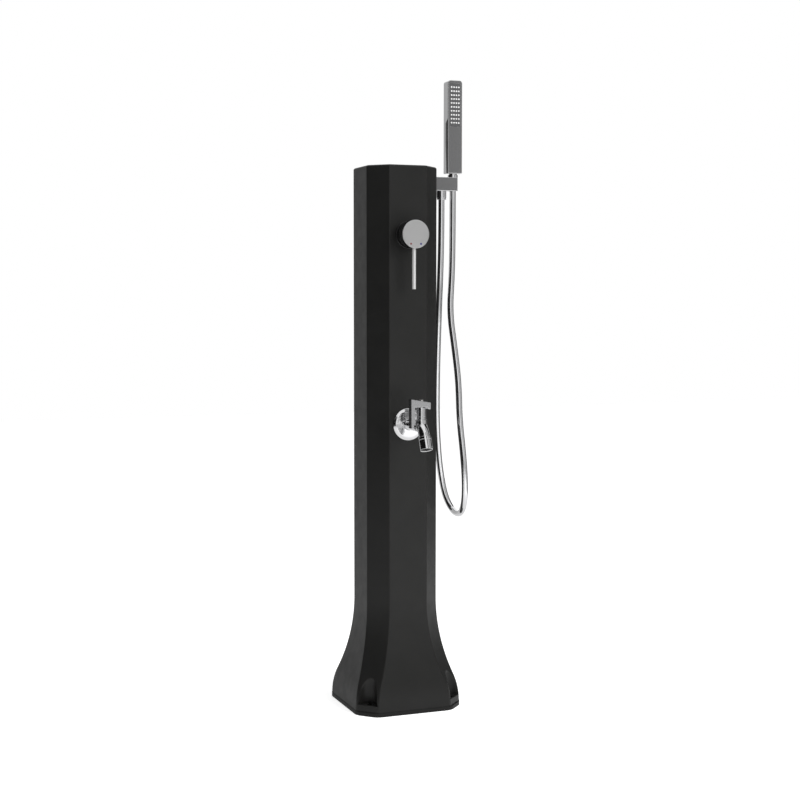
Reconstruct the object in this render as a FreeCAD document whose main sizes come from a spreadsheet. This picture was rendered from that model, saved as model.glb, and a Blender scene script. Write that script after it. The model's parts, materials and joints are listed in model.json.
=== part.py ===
import FreeCAD, Part
import math
import os
import re
import Sketcher
from FreeCAD import Placement, Rotation, Vector

# Outdoor shower post: a hollow eight-sided column on a foot plate, with a lever mixer and a
# foot tap on the front, and a hand shower that stands in its holder on the right side.
# Millimetres, +Z up. The origin is on the floor in the middle of the foot; the front faces -Y.

doc = FreeCAD.newDocument("shower_post")
sheet = doc.addObject("Spreadsheet::Sheet", "Sizes")

SIZES = [
    # column and foot
    ("column_width", 162, "across the flats of the column"),
    ("column_height", 1180, "floor to the top of the column"),
    ("column_cut", 38, "leg of the cut corners of the column"),
    ("shell_wall", 4, "wall of the moulded column"),
    ("top_round", 5, "rounding of the top edge"),
    ("foot_width", 242, "across the flats of the column's foot"),
    ("foot_cut", 38, "leg of the cut corners of the foot"),
    ("flare_height", 236, "height where the foot's curve meets the straight column"),
    ("flare_share", 0.26, "part of the curve that bulges outwards"),
    ("plate_margin", 1, "foot plate beyond the foot's flat sides"),
    ("plate_thickness", 9, "foot plate"),
    ("plate_round", 28, "rounding of the plate's corners"),
    ("gasket_thickness", 1, "gasket between plate and column"),
    ("pocket_radius", 22, "corner pockets for the floor bolts"),
    ("pocket_inset", 3.25, "pocket centre behind the foot's cut corner"),
    ("pocket_rise", 110, "height of the pockets' tapered cut"),
    ("pocket_taper", 10.2, "radius that the pockets lose over that height"),
    ("pocket_floor", 13, "moulded floor of the pockets"),
    ("anchor_inset", 8, "floor bolts behind the pocket's centre"),
    ("anchor_hole", 11, "diameter of the floor bolt holes"),
    ("foot_screw_radius", 2.2, "screws that hold the plate"),
    ("foot_screw_head", 4.2, "head radius of those screws"),
    ("foot_screw_sink", 4, "depth of their heads in the plate"),
    ("foot_screw_bite", 10, "their length in the column"),
    ("foot_screw_shift", 10.6, "their shift from the floor bolt hole, along X and Y"),
    # threads, seals and pipes
    ("half_inch_radius", 10.48, "half-inch pipe thread"),
    ("thread_bore", 6.5, "radius of the bore in that thread"),
    ("tail_length", 26, "threaded tails behind the wall's face"),
    ("nut_radius", 15, "back nuts, across the corners by two"),
    ("nut_thickness", 8, "back nuts"),
    ("seal_thickness", 2, "ring seals inside the wall"),
    ("seal_width", 5, "ring seals, inner to outer edge"),
    ("hole_play", 0.5, "play of what passes through the wall"),
    ("pipe_radius", 7, "inner pipes"),
    ("pipe_wall", 1.5, "wall of the inner pipes"),
    ("pipe_bend", 16, "bend radius of the inner pipes"),
    ("socket_depth", 14, "depth that a pipe goes into its socket"),
    ("socket_wall", 3, "wall of the pipe sockets"),
    # water inlet at the back
    ("inlet_height", 268, "height of the water inlet"),
    ("inlet_length", 15, "thread of the inlet outside"),
    ("inlet_flange", 7, "thickness of the inlet's flange"),
    # mixer
    ("mixer_drop", 149, "mixer's axis below the top of the column"),
    ("mixer_body_radius", 25, "brass body behind the wall"),
    ("mixer_body_length", 52, "its length behind the seal"),
    ("mixer_neck_radius", 19.5, "threaded neck through the wall"),
    ("mixer_neck_length", 14, "neck in front of the wall"),
    ("port_depth", 42, "axis of the mixer's ports behind the wall's face"),
    ("port_length", 40, "mixer ports, from the axis"),
    ("cartridge_radius", 17.5, "cartridge"),
    ("cartridge_seat", 28, "cartridge seat behind the wall's face"),
    ("cartridge_bottom", 5, "bottom of the cartridge housing"),
    ("cartridge_front", 10, "front of the housing, from the wall's face"),
    ("cartridge_wall", 3.5, "wall of the cartridge housing"),
    ("cartridge_lip", 3, "lip that keeps the carrier in"),
    ("disc_thickness", 5, "ceramic discs"),
    ("disc_radius", 8.4, "moving ceramic disc"),
    ("disc_gap", 0.1, "water film between the discs"),
    ("carrier_neck", 9.4, "radius of the carrier's neck"),
    ("running_fit", 0.1, "radial play of turning pieces"),
    ("carrier_front", 14, "front of the carrier, from the wall's face"),
    ("pivot_front", 5, "lever pivot, from the wall's face"),
    ("pivot_radius", 1.5, "pivot pin"),
    ("stem_radius", 3.9, "lever stem"),
    ("sleeve_radius", 23.5, "black sleeve round the neck"),
    ("sleeve_flange", 30, "flange of the sleeve on the wall"),
    ("sleeve_flange_thickness", 5, "that flange"),
    ("sleeve_length", 19, "sleeve, from the wall's face"),
    ("cap_radius", 30, "round handle cap"),
    ("cap_back", 22, "back edge of the cap, from the wall's face"),
    ("cap_front", 45, "front of the cap, from the wall's face"),
    ("cap_wall", 3, "skirt of the cap"),
    ("cap_face", 4, "front of the cap"),
    ("cap_boss", 9, "radius of the boss inside the cap"),
    ("rod_front", 33, "axis of the lever rod, from the wall's face"),
    ("rod_radius", 4, "lever rod"),
    ("rod_reach", 116, "end of the lever rod, from the mixer's axis"),
    ("mark_radius", 2, "hot and cold marks"),
    ("mark_depth", 0.6, "their depth in the cap"),
    ("mark_side", 11.3, "their place beside the axis"),
    ("mark_drop", 20.5, "their place below the axis"),
    # foot tap
    ("tap_height", 625, "height of the foot tap's axis"),
    ("rosette_radius", 35, "tap rosette"),
    ("rosette_thickness", 7, "tap rosette"),
    ("barrel_radius", 11.8, "tap body between rosette and valve"),
    ("valve_front", 75, "valve axis, from the wall's face"),
    ("valve_radius", 13.4, "valve chamber outside"),
    ("valve_bore", 10, "valve chamber inside"),
    ("valve_top", 16, "top of the chamber above the tap's axis"),
    ("valve_bottom", 14, "bottom of the chamber below the tap's axis"),
    ("seat_depth", 6, "seat below the tap's axis"),
    ("seat_thickness", 4, "fixed disc on the seat"),
    ("tap_disc_thickness", 3.8, "turning disc"),
    ("bonnet_radius", 10.8, "bonnet"),
    ("bonnet_top", 41, "top of the bonnet above the tap's axis"),
    ("bonnet_foot", 10, "foot of the bonnet above the tap's axis"),
    ("spindle_radius", 4, "tap spindle"),
    ("spindle_drive", 5, "radius of the spindle between disc and flange"),
    ("spindle_flange", 8, "radius of the flange that keeps the spindle in"),
    ("spindle_flange_thickness", 2, "that flange"),
    ("tap_port_radius", 2.6, "ports of the tap's discs"),
    ("tap_port_reach", 5.5, "those ports from the valve axis"),
    ("tap_bore", 5.5, "radius of the water way to the valve"),
    ("spindle_top", 50, "top of the spindle above the tap's axis"),
    ("handle_left", 25, "handle, left of the valve axis"),
    ("handle_right", 19, "handle, right of the valve axis"),
    ("handle_width", 15, "handle, front to back"),
    ("handle_high", 59, "left end of the handle's top"),
    ("handle_low", 51.5, "right end of the handle's top"),
    ("handle_thumb", 37.5, "underside of the handle's right end"),
    ("handle_plate", 8.5, "thickness of the hanging grip"),
    ("grip_bottom", 3.5, "tip of the grip below the tap's axis"),
    ("grip_cut", 6, "inner corner of the grip's slanted end above the tap's axis"),
    ("handle_gap", 1, "handle above the bonnet"),
    ("handle_screw_radius", 2, "screw of the handle"),
    ("handle_screw_head", 5, "its head"),
    ("spout_tilt", 32, "degrees that the spout leans forward"),
    ("spout_radius", 11.5, "spout"),
    ("spout_bore", 6.5, "radius of the water way of the spout"),
    ("spout_length", 47, "spout, from the valve axis"),
    ("outlet_start", 27, "upper edge of the spout's sleeve"),
    ("outlet_end", 55, "lower edge of the spout's sleeve"),
    ("outlet_radius", 13.8, "spout's sleeve"),
    ("aerator_thickness", 5, "aerator disc"),
    # holder and shower outlet
    ("outlet_drop", 33, "shower outlet's axis below the top of the column"),
    ("holder_reach", 62, "holder block, from the wall's face"),
    ("holder_width", 30, "holder block, front to back"),
    ("holder_thickness", 30, "holder block, top to bottom"),
    ("holder_round", 1.5, "rounding of the holder's upright edges"),
    ("hose_offset", 29, "hose outlet, from the wall's face"),
    ("handset_offset", 56, "handset axis, from the wall's face"),
    ("nipple_front", 14, "outlet nipple in the holder block"),
    ("connector_radius", 9, "thread of hose and handset"),
    ("connector_bore", 5, "its water way"),
    ("connector_bite", 10, "connector in the holder block"),
    ("hose_nut_radius", 11, "hose nut"),
    ("hose_nut_length", 18.8, "hose nut"),
    ("hose_nut_gap", 0.2, "hose nut below the block"),
    ("hose_nut_floor", 4, "bottom of the hose nut"),
    ("washer_thickness", 3, "rubber washers of the hose"),
    ("hose_radius", 7, "shower hose"),
    # cone nut and swivel
    ("swivel_drop", 11, "lower face of the hose swivel below the outlet's axis"),
    ("swivel_collar", 3, "collar of the swivel"),
    ("swivel_stem", 5, "radius of the swivel's stem"),
    ("swivel_head", 8.4, "radius of the swivel's head"),
    ("swivel_head_thickness", 3, "swivel's head"),
    ("cone_floor", 3.4, "bottom wall of the cone nut"),
    ("cone_low_radius", 9.6, "cone nut, lower end"),
    ("cone_high_radius", 11.2, "cone nut, upper end"),
    ("cone_rise", 21, "top of the cone nut above the outlet's axis"),
    ("cone_rim", 3, "straight rim of the cone nut"),
    ("face_gap", 0.3, "play between faces that turn"),
    # handset
    ("handset_gap", 2.5, "bare thread between cone nut and handset"),
    ("handset_length", 203.5, "handset"),
    ("handset_width", 34, "handset, left to right"),
    ("handset_depth", 26, "handset, front to back"),
    ("handset_corner", 7, "upper corners of the handset"),
    ("handset_edge", 1.5, "lower corners of the handset"),
    ("handset_wall", 2.5, "wall of the handset"),
    ("cover_thickness", 4, "front cover of the handset"),
    ("inlay_height", 120, "black inlay between cover and shell"),
    ("inlay_depth", 6, "its width at the lower end"),
    ("spray_width", 25, "spray plate"),
    ("spray_height", 94, "spray plate"),
    ("spray_top", 7, "its distance from the handset's top"),
    ("spray_sink", 0.4, "spray plate behind the cover's face"),
    ("spray_thickness", 4.6, "spray plate"),
    ("nozzle_radius", 1.6, "spray nozzles"),
    ("nozzle_proud", 0.9, "nozzles in front of the spray plate"),
    ("nozzle_columns", 4, "nozzles side by side"),
    ("nozzle_rows", 10, "nozzles one above the other"),
    ("nozzle_side_pitch", 5.7, "nozzle spacing across"),
    ("nozzle_up_pitch", 8.6, "nozzle spacing along"),
    ("mat_thickness", 1.5, "silicone mat behind the plate"),
    ("chamber_depth", 13, "water chamber behind the mat"),
    ("chamber_wall", 1.5, "its wall"),
    ("handset_neck", 8, "radius of the connector inside the handset"),
    ("handset_neck_length", 15, "connector above the handset's lower face"),
    ("channel_bore", 3.5, "radius of the water way in the handset"),
]

# places that follow from those sizes
PLACES = [
    ("pocket_reach", "(foot_width - foot_cut) / sqrt(2) - pocket_inset", "pocket centre from the column's axis"),
    ("mixer_height", "column_height - mixer_drop", "height of the mixer's axis"),
    ("outlet_height", "column_height - outlet_drop", "height of the shower outlet's axis"),
    ("swivel_bottom", "outlet_height - swivel_drop", "lower face of the hose swivel"),
    ("cone_top", "outlet_height + cone_rise", "top of the cone nut"),
    ("handset_bottom", "cone_top + handset_gap", "lower face of the handset"),
]

for row, (name, number, note) in enumerate(SIZES + PLACES, start=1):
    sheet.set("A%d" % row, name)
    sheet.set("B%d" % row, "=" + number if isinstance(number, str) else str(number))
    sheet.set("C%d" % row, note)
    sheet.setAlias("B%d" % row, name)
doc.recompute()

NAMES = {name for name, _, _ in SIZES + PLACES}
WORD = re.compile(r"[a-z_][a-z_0-9]*")

# directions in which a turned piece can point; each turns its own +Z that way
UP = Rotation()
DOWN = Rotation(Vector(1, 0, 0), 180)
FRONT = Rotation(Vector(1, 0, 0), 90)
BACK = Rotation(Vector(1, 0, 0), -90)
RIGHT = Rotation(Vector(0, 1, 0), 90)
LEFT = Rotation(Vector(0, 1, 0), -90)

PARTS = {}


def bound(text):
    """An expression of sheet names, written for the document's expression engine."""
    return WORD.sub(lambda m: "Sizes." + m.group(0) if m.group(0) in NAMES else m.group(0), text)


def value(text):
    """What such an expression is worth now."""
    return float(sheet.evalExpression(bound(text)))


def bind(item, path, text):
    """Tie a property to the sheet, if the expression names anything in it."""
    if WORD.search(text):
        item.setExpression(path, bound(text))


def place(item, turn, spot):
    """Put an object at a spot given by three expressions."""
    item.Placement = Placement(Vector(*[value(text) for text in spot]), turn)
    for axis, text in zip("xyz", spot):
        bind(item, "Placement.Base." + axis, text)
    return item


def keep(item, name):
    """Name an object as one of the post's own pieces."""
    item.Label = name
    PARTS[name] = item
    return item


def origin_plane(body, role):
    return next(f for f in body.Origin.OriginFeatures if f.Role == role)


def pin_point(sketch, item, end, x_text, y_text):
    """Fix a sketch point by its distances from the sketch's origin."""
    for kind, text, axis in (("DistanceX", x_text, -2), ("DistanceY", y_text, -1)):
        if text == "0":
            sketch.addConstraint(Sketcher.Constraint("PointOnObject", item, end, axis))
        else:
            number = sketch.addConstraint(Sketcher.Constraint(kind, -1, 1, item, end, value(text)))
            bind(sketch, "Constraints[%d]" % number, text)


def corner_arc(spot, back, ahead, radius):
    """The rounding of one corner: the arc, and whether it runs from the arriving side."""
    half = back.getAngle(ahead) / 2
    inward = (back + ahead).normalize()
    centre = spot + inward * (radius / math.sin(half))
    arrive = spot + back * (radius / math.tan(half)) - centre
    leave = spot + ahead * (radius / math.tan(half)) - centre
    forward = arrive.cross(leave).z > 0
    first, last = (arrive, leave) if forward else (leave, arrive)
    circle = Part.Circle(centre, Vector(0, 0, 1), radius)
    return Part.ArcOfCircle(circle, math.atan2(first.y, first.x), math.atan2(last.y, last.x)), forward


def outline(sketch, corners):
    """A closed outline through corners (x, y) or, where it is rounded, (x, y, radius)."""
    count = len(corners)
    spots = [Vector(value(corner[0]), value(corner[1]), 0) for corner in corners]
    radii = [value(corner[2]) if len(corner) > 2 else 0.0 for corner in corners]
    ways = []
    for i, spot in enumerate(spots):
        back = (spots[i - 1] - spot).normalize()
        ahead = (spots[(i + 1) % count] - spot).normalize()
        reach = radii[i] / math.tan(back.getAngle(ahead) / 2) if radii[i] else 0.0
        ways.append((back, ahead, reach))
    for i in range(count):
        after = (i + 1) % count
        start = spots[i] + ways[i][1] * ways[i][2]
        end = spots[after] + ways[after][0] * ways[after][2]
        sketch.addGeometry(Part.LineSegment(start, end), False)
    for i, corner in enumerate(corners):
        before = (i - 1) % count
        if not radii[i]:
            sketch.addConstraint(Sketcher.Constraint("Coincident", before, 2, i, 1))
            pin_point(sketch, i, 1, corner[0], corner[1])
            continue
        arc, forward = corner_arc(spots[i], ways[i][0], ways[i][1], radii[i])
        bend = sketch.addGeometry(arc, False)
        near, far = (1, 2) if forward else (2, 1)
        sketch.addConstraint(Sketcher.Constraint("Tangent", before, 2, bend, near))
        sketch.addConstraint(Sketcher.Constraint("Tangent", bend, far, i, 1))
        number = sketch.addConstraint(Sketcher.Constraint("Radius", bend, radii[i]))
        bind(sketch, "Constraints[%d]" % number, corner[2])
        apex = sketch.addGeometry(Part.Point(spots[i]), True)
        pin_point(sketch, apex, 1, corner[0], corner[1])
        sketch.addConstraint(Sketcher.Constraint("PointOnObject", apex, 1, before))
        sketch.addConstraint(Sketcher.Constraint("PointOnObject", apex, 1, i))


def drawn_body(name, role, corners):
    """A body with one sketch on an origin plane."""
    body = doc.addObject("PartDesign::Body", name)
    sketch = body.newObject("Sketcher::SketchObject", name + "_sketch")
    sketch.AttachmentSupport = [(origin_plane(body, role), "")]
    sketch.MapMode = "FlatFace"
    outline(sketch, corners)
    return body, sketch


def turned(name, corners, turn, spot):
    """A turned piece: its half section (radius, height) goes once round its own Z axis."""
    body, sketch = drawn_body(name, "XZ_Plane", corners)
    wheel = body.newObject("PartDesign::Revolution", name + "_turn")
    wheel.Profile = sketch
    wheel.ReferenceAxis = (sketch, ["V_Axis"])
    wheel.Angle = 360
    return place(body, turn, spot)


def padded(name, role, corners, length, spot):
    """A flat piece: an outline in an origin plane, raised off it. XZ outlines rise towards -Y."""
    body, sketch = drawn_body(name, role, corners)
    pad = body.newObject("PartDesign::Pad", name + "_pad")
    pad.Profile = sketch
    pad.Length = value(length)
    bind(pad, "Length", length)
    return place(body, UP, spot)


def cylinder(name, radius, height, turn, spot):
    item = doc.addObject("Part::Cylinder", name)
    item.Radius = value(radius)
    item.Height = value(height)
    bind(item, "Radius", radius)
    bind(item, "Height", height)
    return place(item, turn, spot)


def block(name, size, spot):
    """A box from its lowest corner."""
    item = doc.addObject("Part::Box", name)
    for side, text in zip(("Length", "Width", "Height"), size):
        setattr(item, side, value(text))
        bind(item, side, text)
    return place(item, UP, spot)


def fused(name, shapes):
    item = doc.addObject("Part::MultiFuse", name)
    item.Shapes = shapes
    return item


def shared(name, shapes):
    item = doc.addObject("Part::MultiCommon", name)
    item.Shapes = shapes
    return item


def cut(name, base, tools):
    item = doc.addObject("Part::Cut", name)
    item.Base = base
    item.Tool = tools[0] if len(tools) == 1 else fused(name + "_tools", tools)
    return item


def ring(name, inner, outer, start, end, turn, spot):
    """A plain ring from one height to another along its axis."""
    corners = [(inner, start), (outer, start), (outer, end), (inner, end)]
    return turned(name, corners, turn, spot)


def hexagon_nut(name, bore, radius, start, height, turn, spot):
    """A six-sided nut on an axis, and the bore through it."""
    prism = doc.addObject("Part::Prism", name + "_prism")
    prism.Polygon = 6
    prism.Circumradius = value(radius)
    prism.Height = value(height)
    bind(prism, "Circumradius", radius)
    bind(prism, "Height", height)
    way = turn.multVec(Vector(0, 0, 1))
    seat = ["(%s) + (%g) * (%s)" % (text, part, start) for text, part in zip(spot, way)]
    place(prism, turn, seat)
    return cut(name, prism, [cylinder(name + "_bore", bore, height, turn, seat)])


def bend_wire(points, radius_of):
    """Straight runs joined by arcs that touch them, through a list of points."""
    edges = []
    radii = []
    here = points[0]
    for before, corner, after in zip(points, points[1:], points[2:]):
        back = before - corner
        ahead = after - corner
        half = back.getAngle(ahead) / 2
        radius = radius_of(min(back.Length, ahead.Length), half)
        back.normalize()
        ahead.normalize()
        inward = (back + ahead).normalize()
        start = corner + back * (radius / math.tan(half))
        end = corner + ahead * (radius / math.tan(half))
        middle = corner + inward * (radius / math.sin(half) - radius)
        edges.append(Part.LineSegment(here, start).toShape())
        edges.append(Part.Arc(start, middle, end).toShape())
        radii.append(radius)
        here = end
    edges.append(Part.LineSegment(here, points[-1]).toShape())
    return Part.Wire(edges), radii


def swept(wire, points, radius):
    """A round rod along a wire."""
    circle = Part.Wire(Part.Circle(points[0], points[1] - points[0], radius).toShape())
    return wire.makePipeShell([circle], True, False)


def pipe(name, route):
    """An inner water pipe: its route turns corners in space, which no flat sketch can hold."""
    points = [Vector(*[value(text) for text in spot]) for spot in route]
    wire, _ = bend_wire(points, lambda run, half: value("pipe_bend"))
    outside = swept(wire, points, value("pipe_radius"))
    inside = swept(wire, points, value("pipe_radius - pipe_wall"))
    item = doc.addObject("Part::Feature", name)
    item.Shape = outside.cut(inside)
    return item


# ---------------------------------------------------------------- column and foot

WALL_FRONT = "-column_width / 2"
WALL_SIDE = "column_width / 2"
SHELL_BOTTOM = "(plate_thickness + gasket_thickness)"
ANCHOR = "(pocket_reach - anchor_inset) / sqrt(2)"
POCKET = "pocket_reach / sqrt(2)"
CORNERS = [(x, y) for x in ("", "-") for y in ("", "-")]


def flared_slab(name, angle, half_top, half_foot, bottom, top, rounding=None):
    """The column seen from one side: straight above, curved out to the foot, and made deep.

    The foot's curve is two arcs that touch each other, the upright column and the upright foot."""
    sketch = doc.addObject("Sketcher::SketchObject", name + "_sketch")
    lower, upper = SHELL_BOTTOM, "flare_height"
    rise = "(%s - %s)" % (upper, lower)
    spread = "(%s - %s)" % (half_foot, half_top)
    both = "(%s * %s + %s * %s) / (2 * %s)" % (rise, rise, spread, spread, spread)
    foot_radius = "flare_share * (%s)" % both
    out, inn = value(half_foot), value(half_top)
    low, high = value(lower), value(upper)
    small = value(foot_radius)
    large = value(both) - small
    turn = 2 * math.atan2(out - inn, high - low)
    edge = value(rounding) if rounding else 0.0
    ends = []
    for sign in (1, -1):
        mark = "" if sign > 0 else "-"
        foot = sketch.addGeometry(Part.LineSegment(
            Vector(sign * out, value(bottom), 0), Vector(sign * out, low, 0)), False)
        bulge_circle = Part.Circle(Vector(sign * (out - small), low, 0), Vector(0, 0, 1), small)
        hollow_circle = Part.Circle(Vector(sign * (inn + large), high, 0), Vector(0, 0, 1), large)
        if sign > 0:
            bulge = sketch.addGeometry(Part.ArcOfCircle(bulge_circle, 0, turn), False)
            hollow = sketch.addGeometry(
                Part.ArcOfCircle(hollow_circle, math.pi, math.pi + turn), False)
            bulge_ends, hollow_ends = (1, 2), (2, 1)
        else:
            bulge = sketch.addGeometry(Part.ArcOfCircle(bulge_circle, math.pi - turn, math.pi), False)
            hollow = sketch.addGeometry(Part.ArcOfCircle(hollow_circle, -turn, 0), False)
            bulge_ends, hollow_ends = (2, 1), (1, 2)
        side = sketch.addGeometry(Part.LineSegment(
            Vector(sign * inn, high, 0), Vector(sign * inn, value(top) - edge, 0)), False)
        for constraint in (
                Sketcher.Constraint("Tangent", foot, 2, bulge, bulge_ends[0]),
                Sketcher.Constraint("Tangent", bulge, bulge_ends[1], hollow, hollow_ends[0]),
                Sketcher.Constraint("Tangent", hollow, hollow_ends[1], side, 1),
                Sketcher.Constraint("Vertical", foot)):
            sketch.addConstraint(constraint)
        pin_point(sketch, foot, 1, "%s(%s)" % (mark, half_foot), bottom)
        number = sketch.addConstraint(Sketcher.Constraint("DistanceY", -1, 1, foot, 2, low))
        bind(sketch, "Constraints[%d]" % number, lower)
        pin_point(sketch, side, 1, "%s(%s)" % (mark, half_top), upper)
        number = sketch.addConstraint(Sketcher.Constraint("Radius", bulge, small))
        bind(sketch, "Constraints[%d]" % number, foot_radius)
        tail = (side, 2)
        if rounding:
            start = 0 if sign > 0 else math.pi / 2
            bend = sketch.addGeometry(Part.ArcOfCircle(
                Part.Circle(Vector(sign * (inn - edge), value(top) - edge, 0), Vector(0, 0, 1), edge),
                start, start + math.pi / 2), False)
            near, tail = ((bend, 1), (bend, 2)) if sign > 0 else ((bend, 2), (bend, 1))
            sketch.addConstraint(Sketcher.Constraint("Tangent", side, 2, *near))
            number = sketch.addConstraint(Sketcher.Constraint("Radius", bend, edge))
            bind(sketch, "Constraints[%d]" % number, rounding)
        ends.append((foot, side, tail))
    (foot_right, side_right, tail_right), (foot_left, side_left, tail_left) = ends
    sill = sketch.addGeometry(Part.LineSegment(
        Vector(-out, value(bottom), 0), Vector(out, value(bottom), 0)), False)
    lid = sketch.addGeometry(Part.LineSegment(
        Vector(inn - edge, value(top), 0), Vector(edge - inn, value(top), 0)), False)
    join = "Tangent" if rounding else "Coincident"
    for constraint in (
            Sketcher.Constraint("Coincident", sill, 1, foot_left, 1),
            Sketcher.Constraint("Coincident", sill, 2, foot_right, 1),
            Sketcher.Constraint(join, *tail_right, lid, 1),
            Sketcher.Constraint(join, *tail_left, lid, 2)):
        sketch.addConstraint(constraint)
    if not rounding:
        sketch.addConstraint(Sketcher.Constraint("Vertical", side_right))
        sketch.addConstraint(Sketcher.Constraint("Vertical", side_left))
    number = sketch.addConstraint(Sketcher.Constraint("DistanceY", -1, 1, lid, 1, value(top)))
    bind(sketch, "Constraints[%d]" % number, top)
    if not rounding:
        sketch.addConstraint(Sketcher.Constraint("Horizontal", lid))
    stand = Rotation(Vector(0, 0, 1), angle).multiply(FRONT)
    sketch.Placement = Placement(Vector(), stand)
    slab = doc.addObject("Part::Extrusion", name)
    slab.Base = sketch
    slab.DirMode = "Normal"
    slab.Solid = True
    slab.Symmetric = True
    slab.LengthFwd = 2 * value("foot_width")
    bind(slab, "LengthFwd", "2 * foot_width")
    return slab


def flared_column(name, inset, bottom, top, rounding=None):
    """Eight flared sides: what four slabs have in common."""
    flat_top = "(column_width / 2 - %s)" % inset
    flat_foot = "(foot_width / 2 - %s)" % inset
    cut_top = "((column_width - column_cut) / sqrt(2) - %s)" % inset
    cut_foot = "((foot_width - foot_cut) / sqrt(2) - %s)" % inset
    slabs = []
    for angle in (0, 45, 90, 135):
        halves = (flat_top, flat_foot) if angle % 90 == 0 else (cut_top, cut_foot)
        slabs.append(flared_slab("%s_%d" % (name, angle), angle, *halves, bottom, top, rounding))
    return shared(name, slabs)


def foot_screw_spots():
    """Two screws beside each floor bolt hole."""
    spots = []
    for x, y in CORNERS:
        spots.append(("%s(%s + foot_screw_shift)" % (x, ANCHOR), "%s(%s - foot_screw_shift)" % (y, ANCHOR)))
        spots.append(("%s(%s - foot_screw_shift)" % (x, ANCHOR), "%s(%s + foot_screw_shift)" % (y, ANCHOR)))
    return spots


def build_column():
    """The moulded column, the gasket under it, the foot plate and its screws."""
    outer = flared_column("column_outside", "0", SHELL_BOTTOM + " - gasket_thickness",
                          "column_height", "top_round")
    inner = flared_column("column_inside", "shell_wall", SHELL_BOTTOM + " - gasket_thickness",
                          "column_height - shell_wall")
    lugs, pockets, bolts = [], [], []
    floor = SHELL_BOTTOM + " + pocket_floor"
    for number, (x, y) in enumerate(CORNERS, start=1):
        spot = (x + "(" + POCKET + ")", y + "(" + POCKET + ")")
        anchor = (x + "(" + ANCHOR + ")", y + "(" + ANCHOR + ")")
        lugs.append(cylinder("pocket_wall_%d" % number, "pocket_radius + shell_wall", "flare_height",
                             UP, spot + ("0",)))
        pockets.append(turned("pocket_%d" % number, [
            ("0", "0"), ("pocket_radius", "0"), ("(pocket_radius - pocket_taper)", "pocket_rise"),
            ("0", "pocket_rise")], UP, spot + (floor,)))
        bolts.append(cylinder("anchor_bore_%d" % number, "anchor_hole / 2", "flare_height",
                              UP, anchor + ("-1",)))
    pilots = [cylinder("pilot_%d" % n, "foot_screw_radius", SHELL_BOTTOM + " + foot_screw_bite", UP, s + ("0",))
              for n, s in enumerate(foot_screw_spots(), start=1)]
    hollow = cut("column_hollow", inner, lugs)
    openings = [
        cylinder("mixer_opening", "mixer_neck_radius + hole_play", "3 * shell_wall", FRONT,
                 ("0", WALL_FRONT + " + 2 * shell_wall", "mixer_height")),
        cylinder("tap_opening", "half_inch_radius + hole_play", "3 * shell_wall", FRONT,
                 ("0", WALL_FRONT + " + 2 * shell_wall", "tap_height")),
        cylinder("outlet_opening", "half_inch_radius + hole_play", "3 * shell_wall", RIGHT,
                 (WALL_SIDE + " - 2 * shell_wall", "0", "outlet_height")),
        cylinder("inlet_opening", "half_inch_radius + hole_play", "3 * shell_wall", BACK,
                 ("0", WALL_SIDE + " - 2 * shell_wall", "inlet_height")),
    ]
    walls = cut("column_walls", outer, [hollow] + pockets + bolts + pilots + openings)
    slice_size = ("2 * foot_width", "2 * foot_width", "gasket_thickness")
    slice_spot = ("-foot_width", "-foot_width", "plate_thickness")
    keep(shared("gasket", [walls, block("gasket_slice", slice_size, slice_spot)]), "foot_gasket")
    keep(cut("shell", walls, [block("shell_slice", slice_size, slice_spot)]), "column_shell")

    half, leg = "(foot_width / 2 + plate_margin)", "(foot_cut - 2 * plate_margin)"
    ring_of_corners = [(half, "%s - %s" % (leg, half)), (half, "%s - %s" % (half, leg)),
                       ("%s - %s" % (half, leg), half), ("%s - %s" % (leg, half), half),
                       ("-" + half, "%s - %s" % (half, leg)), ("-" + half, "%s - %s" % (leg, half)),
                       ("%s - %s" % (leg, half), "-" + half), ("%s - %s" % (half, leg), "-" + half)]
    plate = padded("plate_blank", "XY_Plane", [c + ("plate_round",) for c in ring_of_corners],
                   "plate_thickness", ("0", "0", "0"))
    holes = [cylinder("plate_bolt_%d" % n, "anchor_hole / 2", "plate_thickness", UP,
                      (x + "(" + ANCHOR + ")", y + "(" + ANCHOR + ")", "0"))
             for n, (x, y) in enumerate(CORNERS, start=1)]
    screws = []
    for n, spot in enumerate(foot_screw_spots(), start=1):
        holes.append(cylinder("plate_screw_%d" % n, "foot_screw_radius", "plate_thickness", UP, spot + ("0",)))
        holes.append(cylinder("plate_sink_%d" % n, "foot_screw_head", "foot_screw_sink", UP, spot + ("0",)))
        screws.append(turned("foot_screw_%d" % n, [
            ("0", "foot_screw_sink / 4"), ("foot_screw_head", "foot_screw_sink / 4"),
            ("foot_screw_head", "foot_screw_sink"), ("foot_screw_radius", "foot_screw_sink"),
            ("foot_screw_radius", SHELL_BOTTOM + " + foot_screw_bite"),
            ("0", SHELL_BOTTOM + " + foot_screw_bite")], UP, spot + ("0",)))
    keep(cut("plate", plate, holes), "foot_plate")
    group = doc.addObject("Part::Compound", "foot_screw_group")
    group.Links = screws
    keep(group, "foot_screws")


# ---------------------------------------------------------------- fittings through the wall

SEAL_FACE = "(-shell_wall - seal_thickness)"


def back_fixing(stem, radius, turn, spot):
    """The seal inside the wall and the nut that clamps a fitting on it."""
    keep(ring(stem + "_seal_ring", radius, radius + " + seal_width", SEAL_FACE, "-shell_wall", turn, spot),
         stem + "_seal")
    keep(hexagon_nut(stem + "_nut_body", radius, "nut_radius", SEAL_FACE + " - nut_thickness",
                     "nut_thickness", turn, spot), stem + "_nut")


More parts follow.
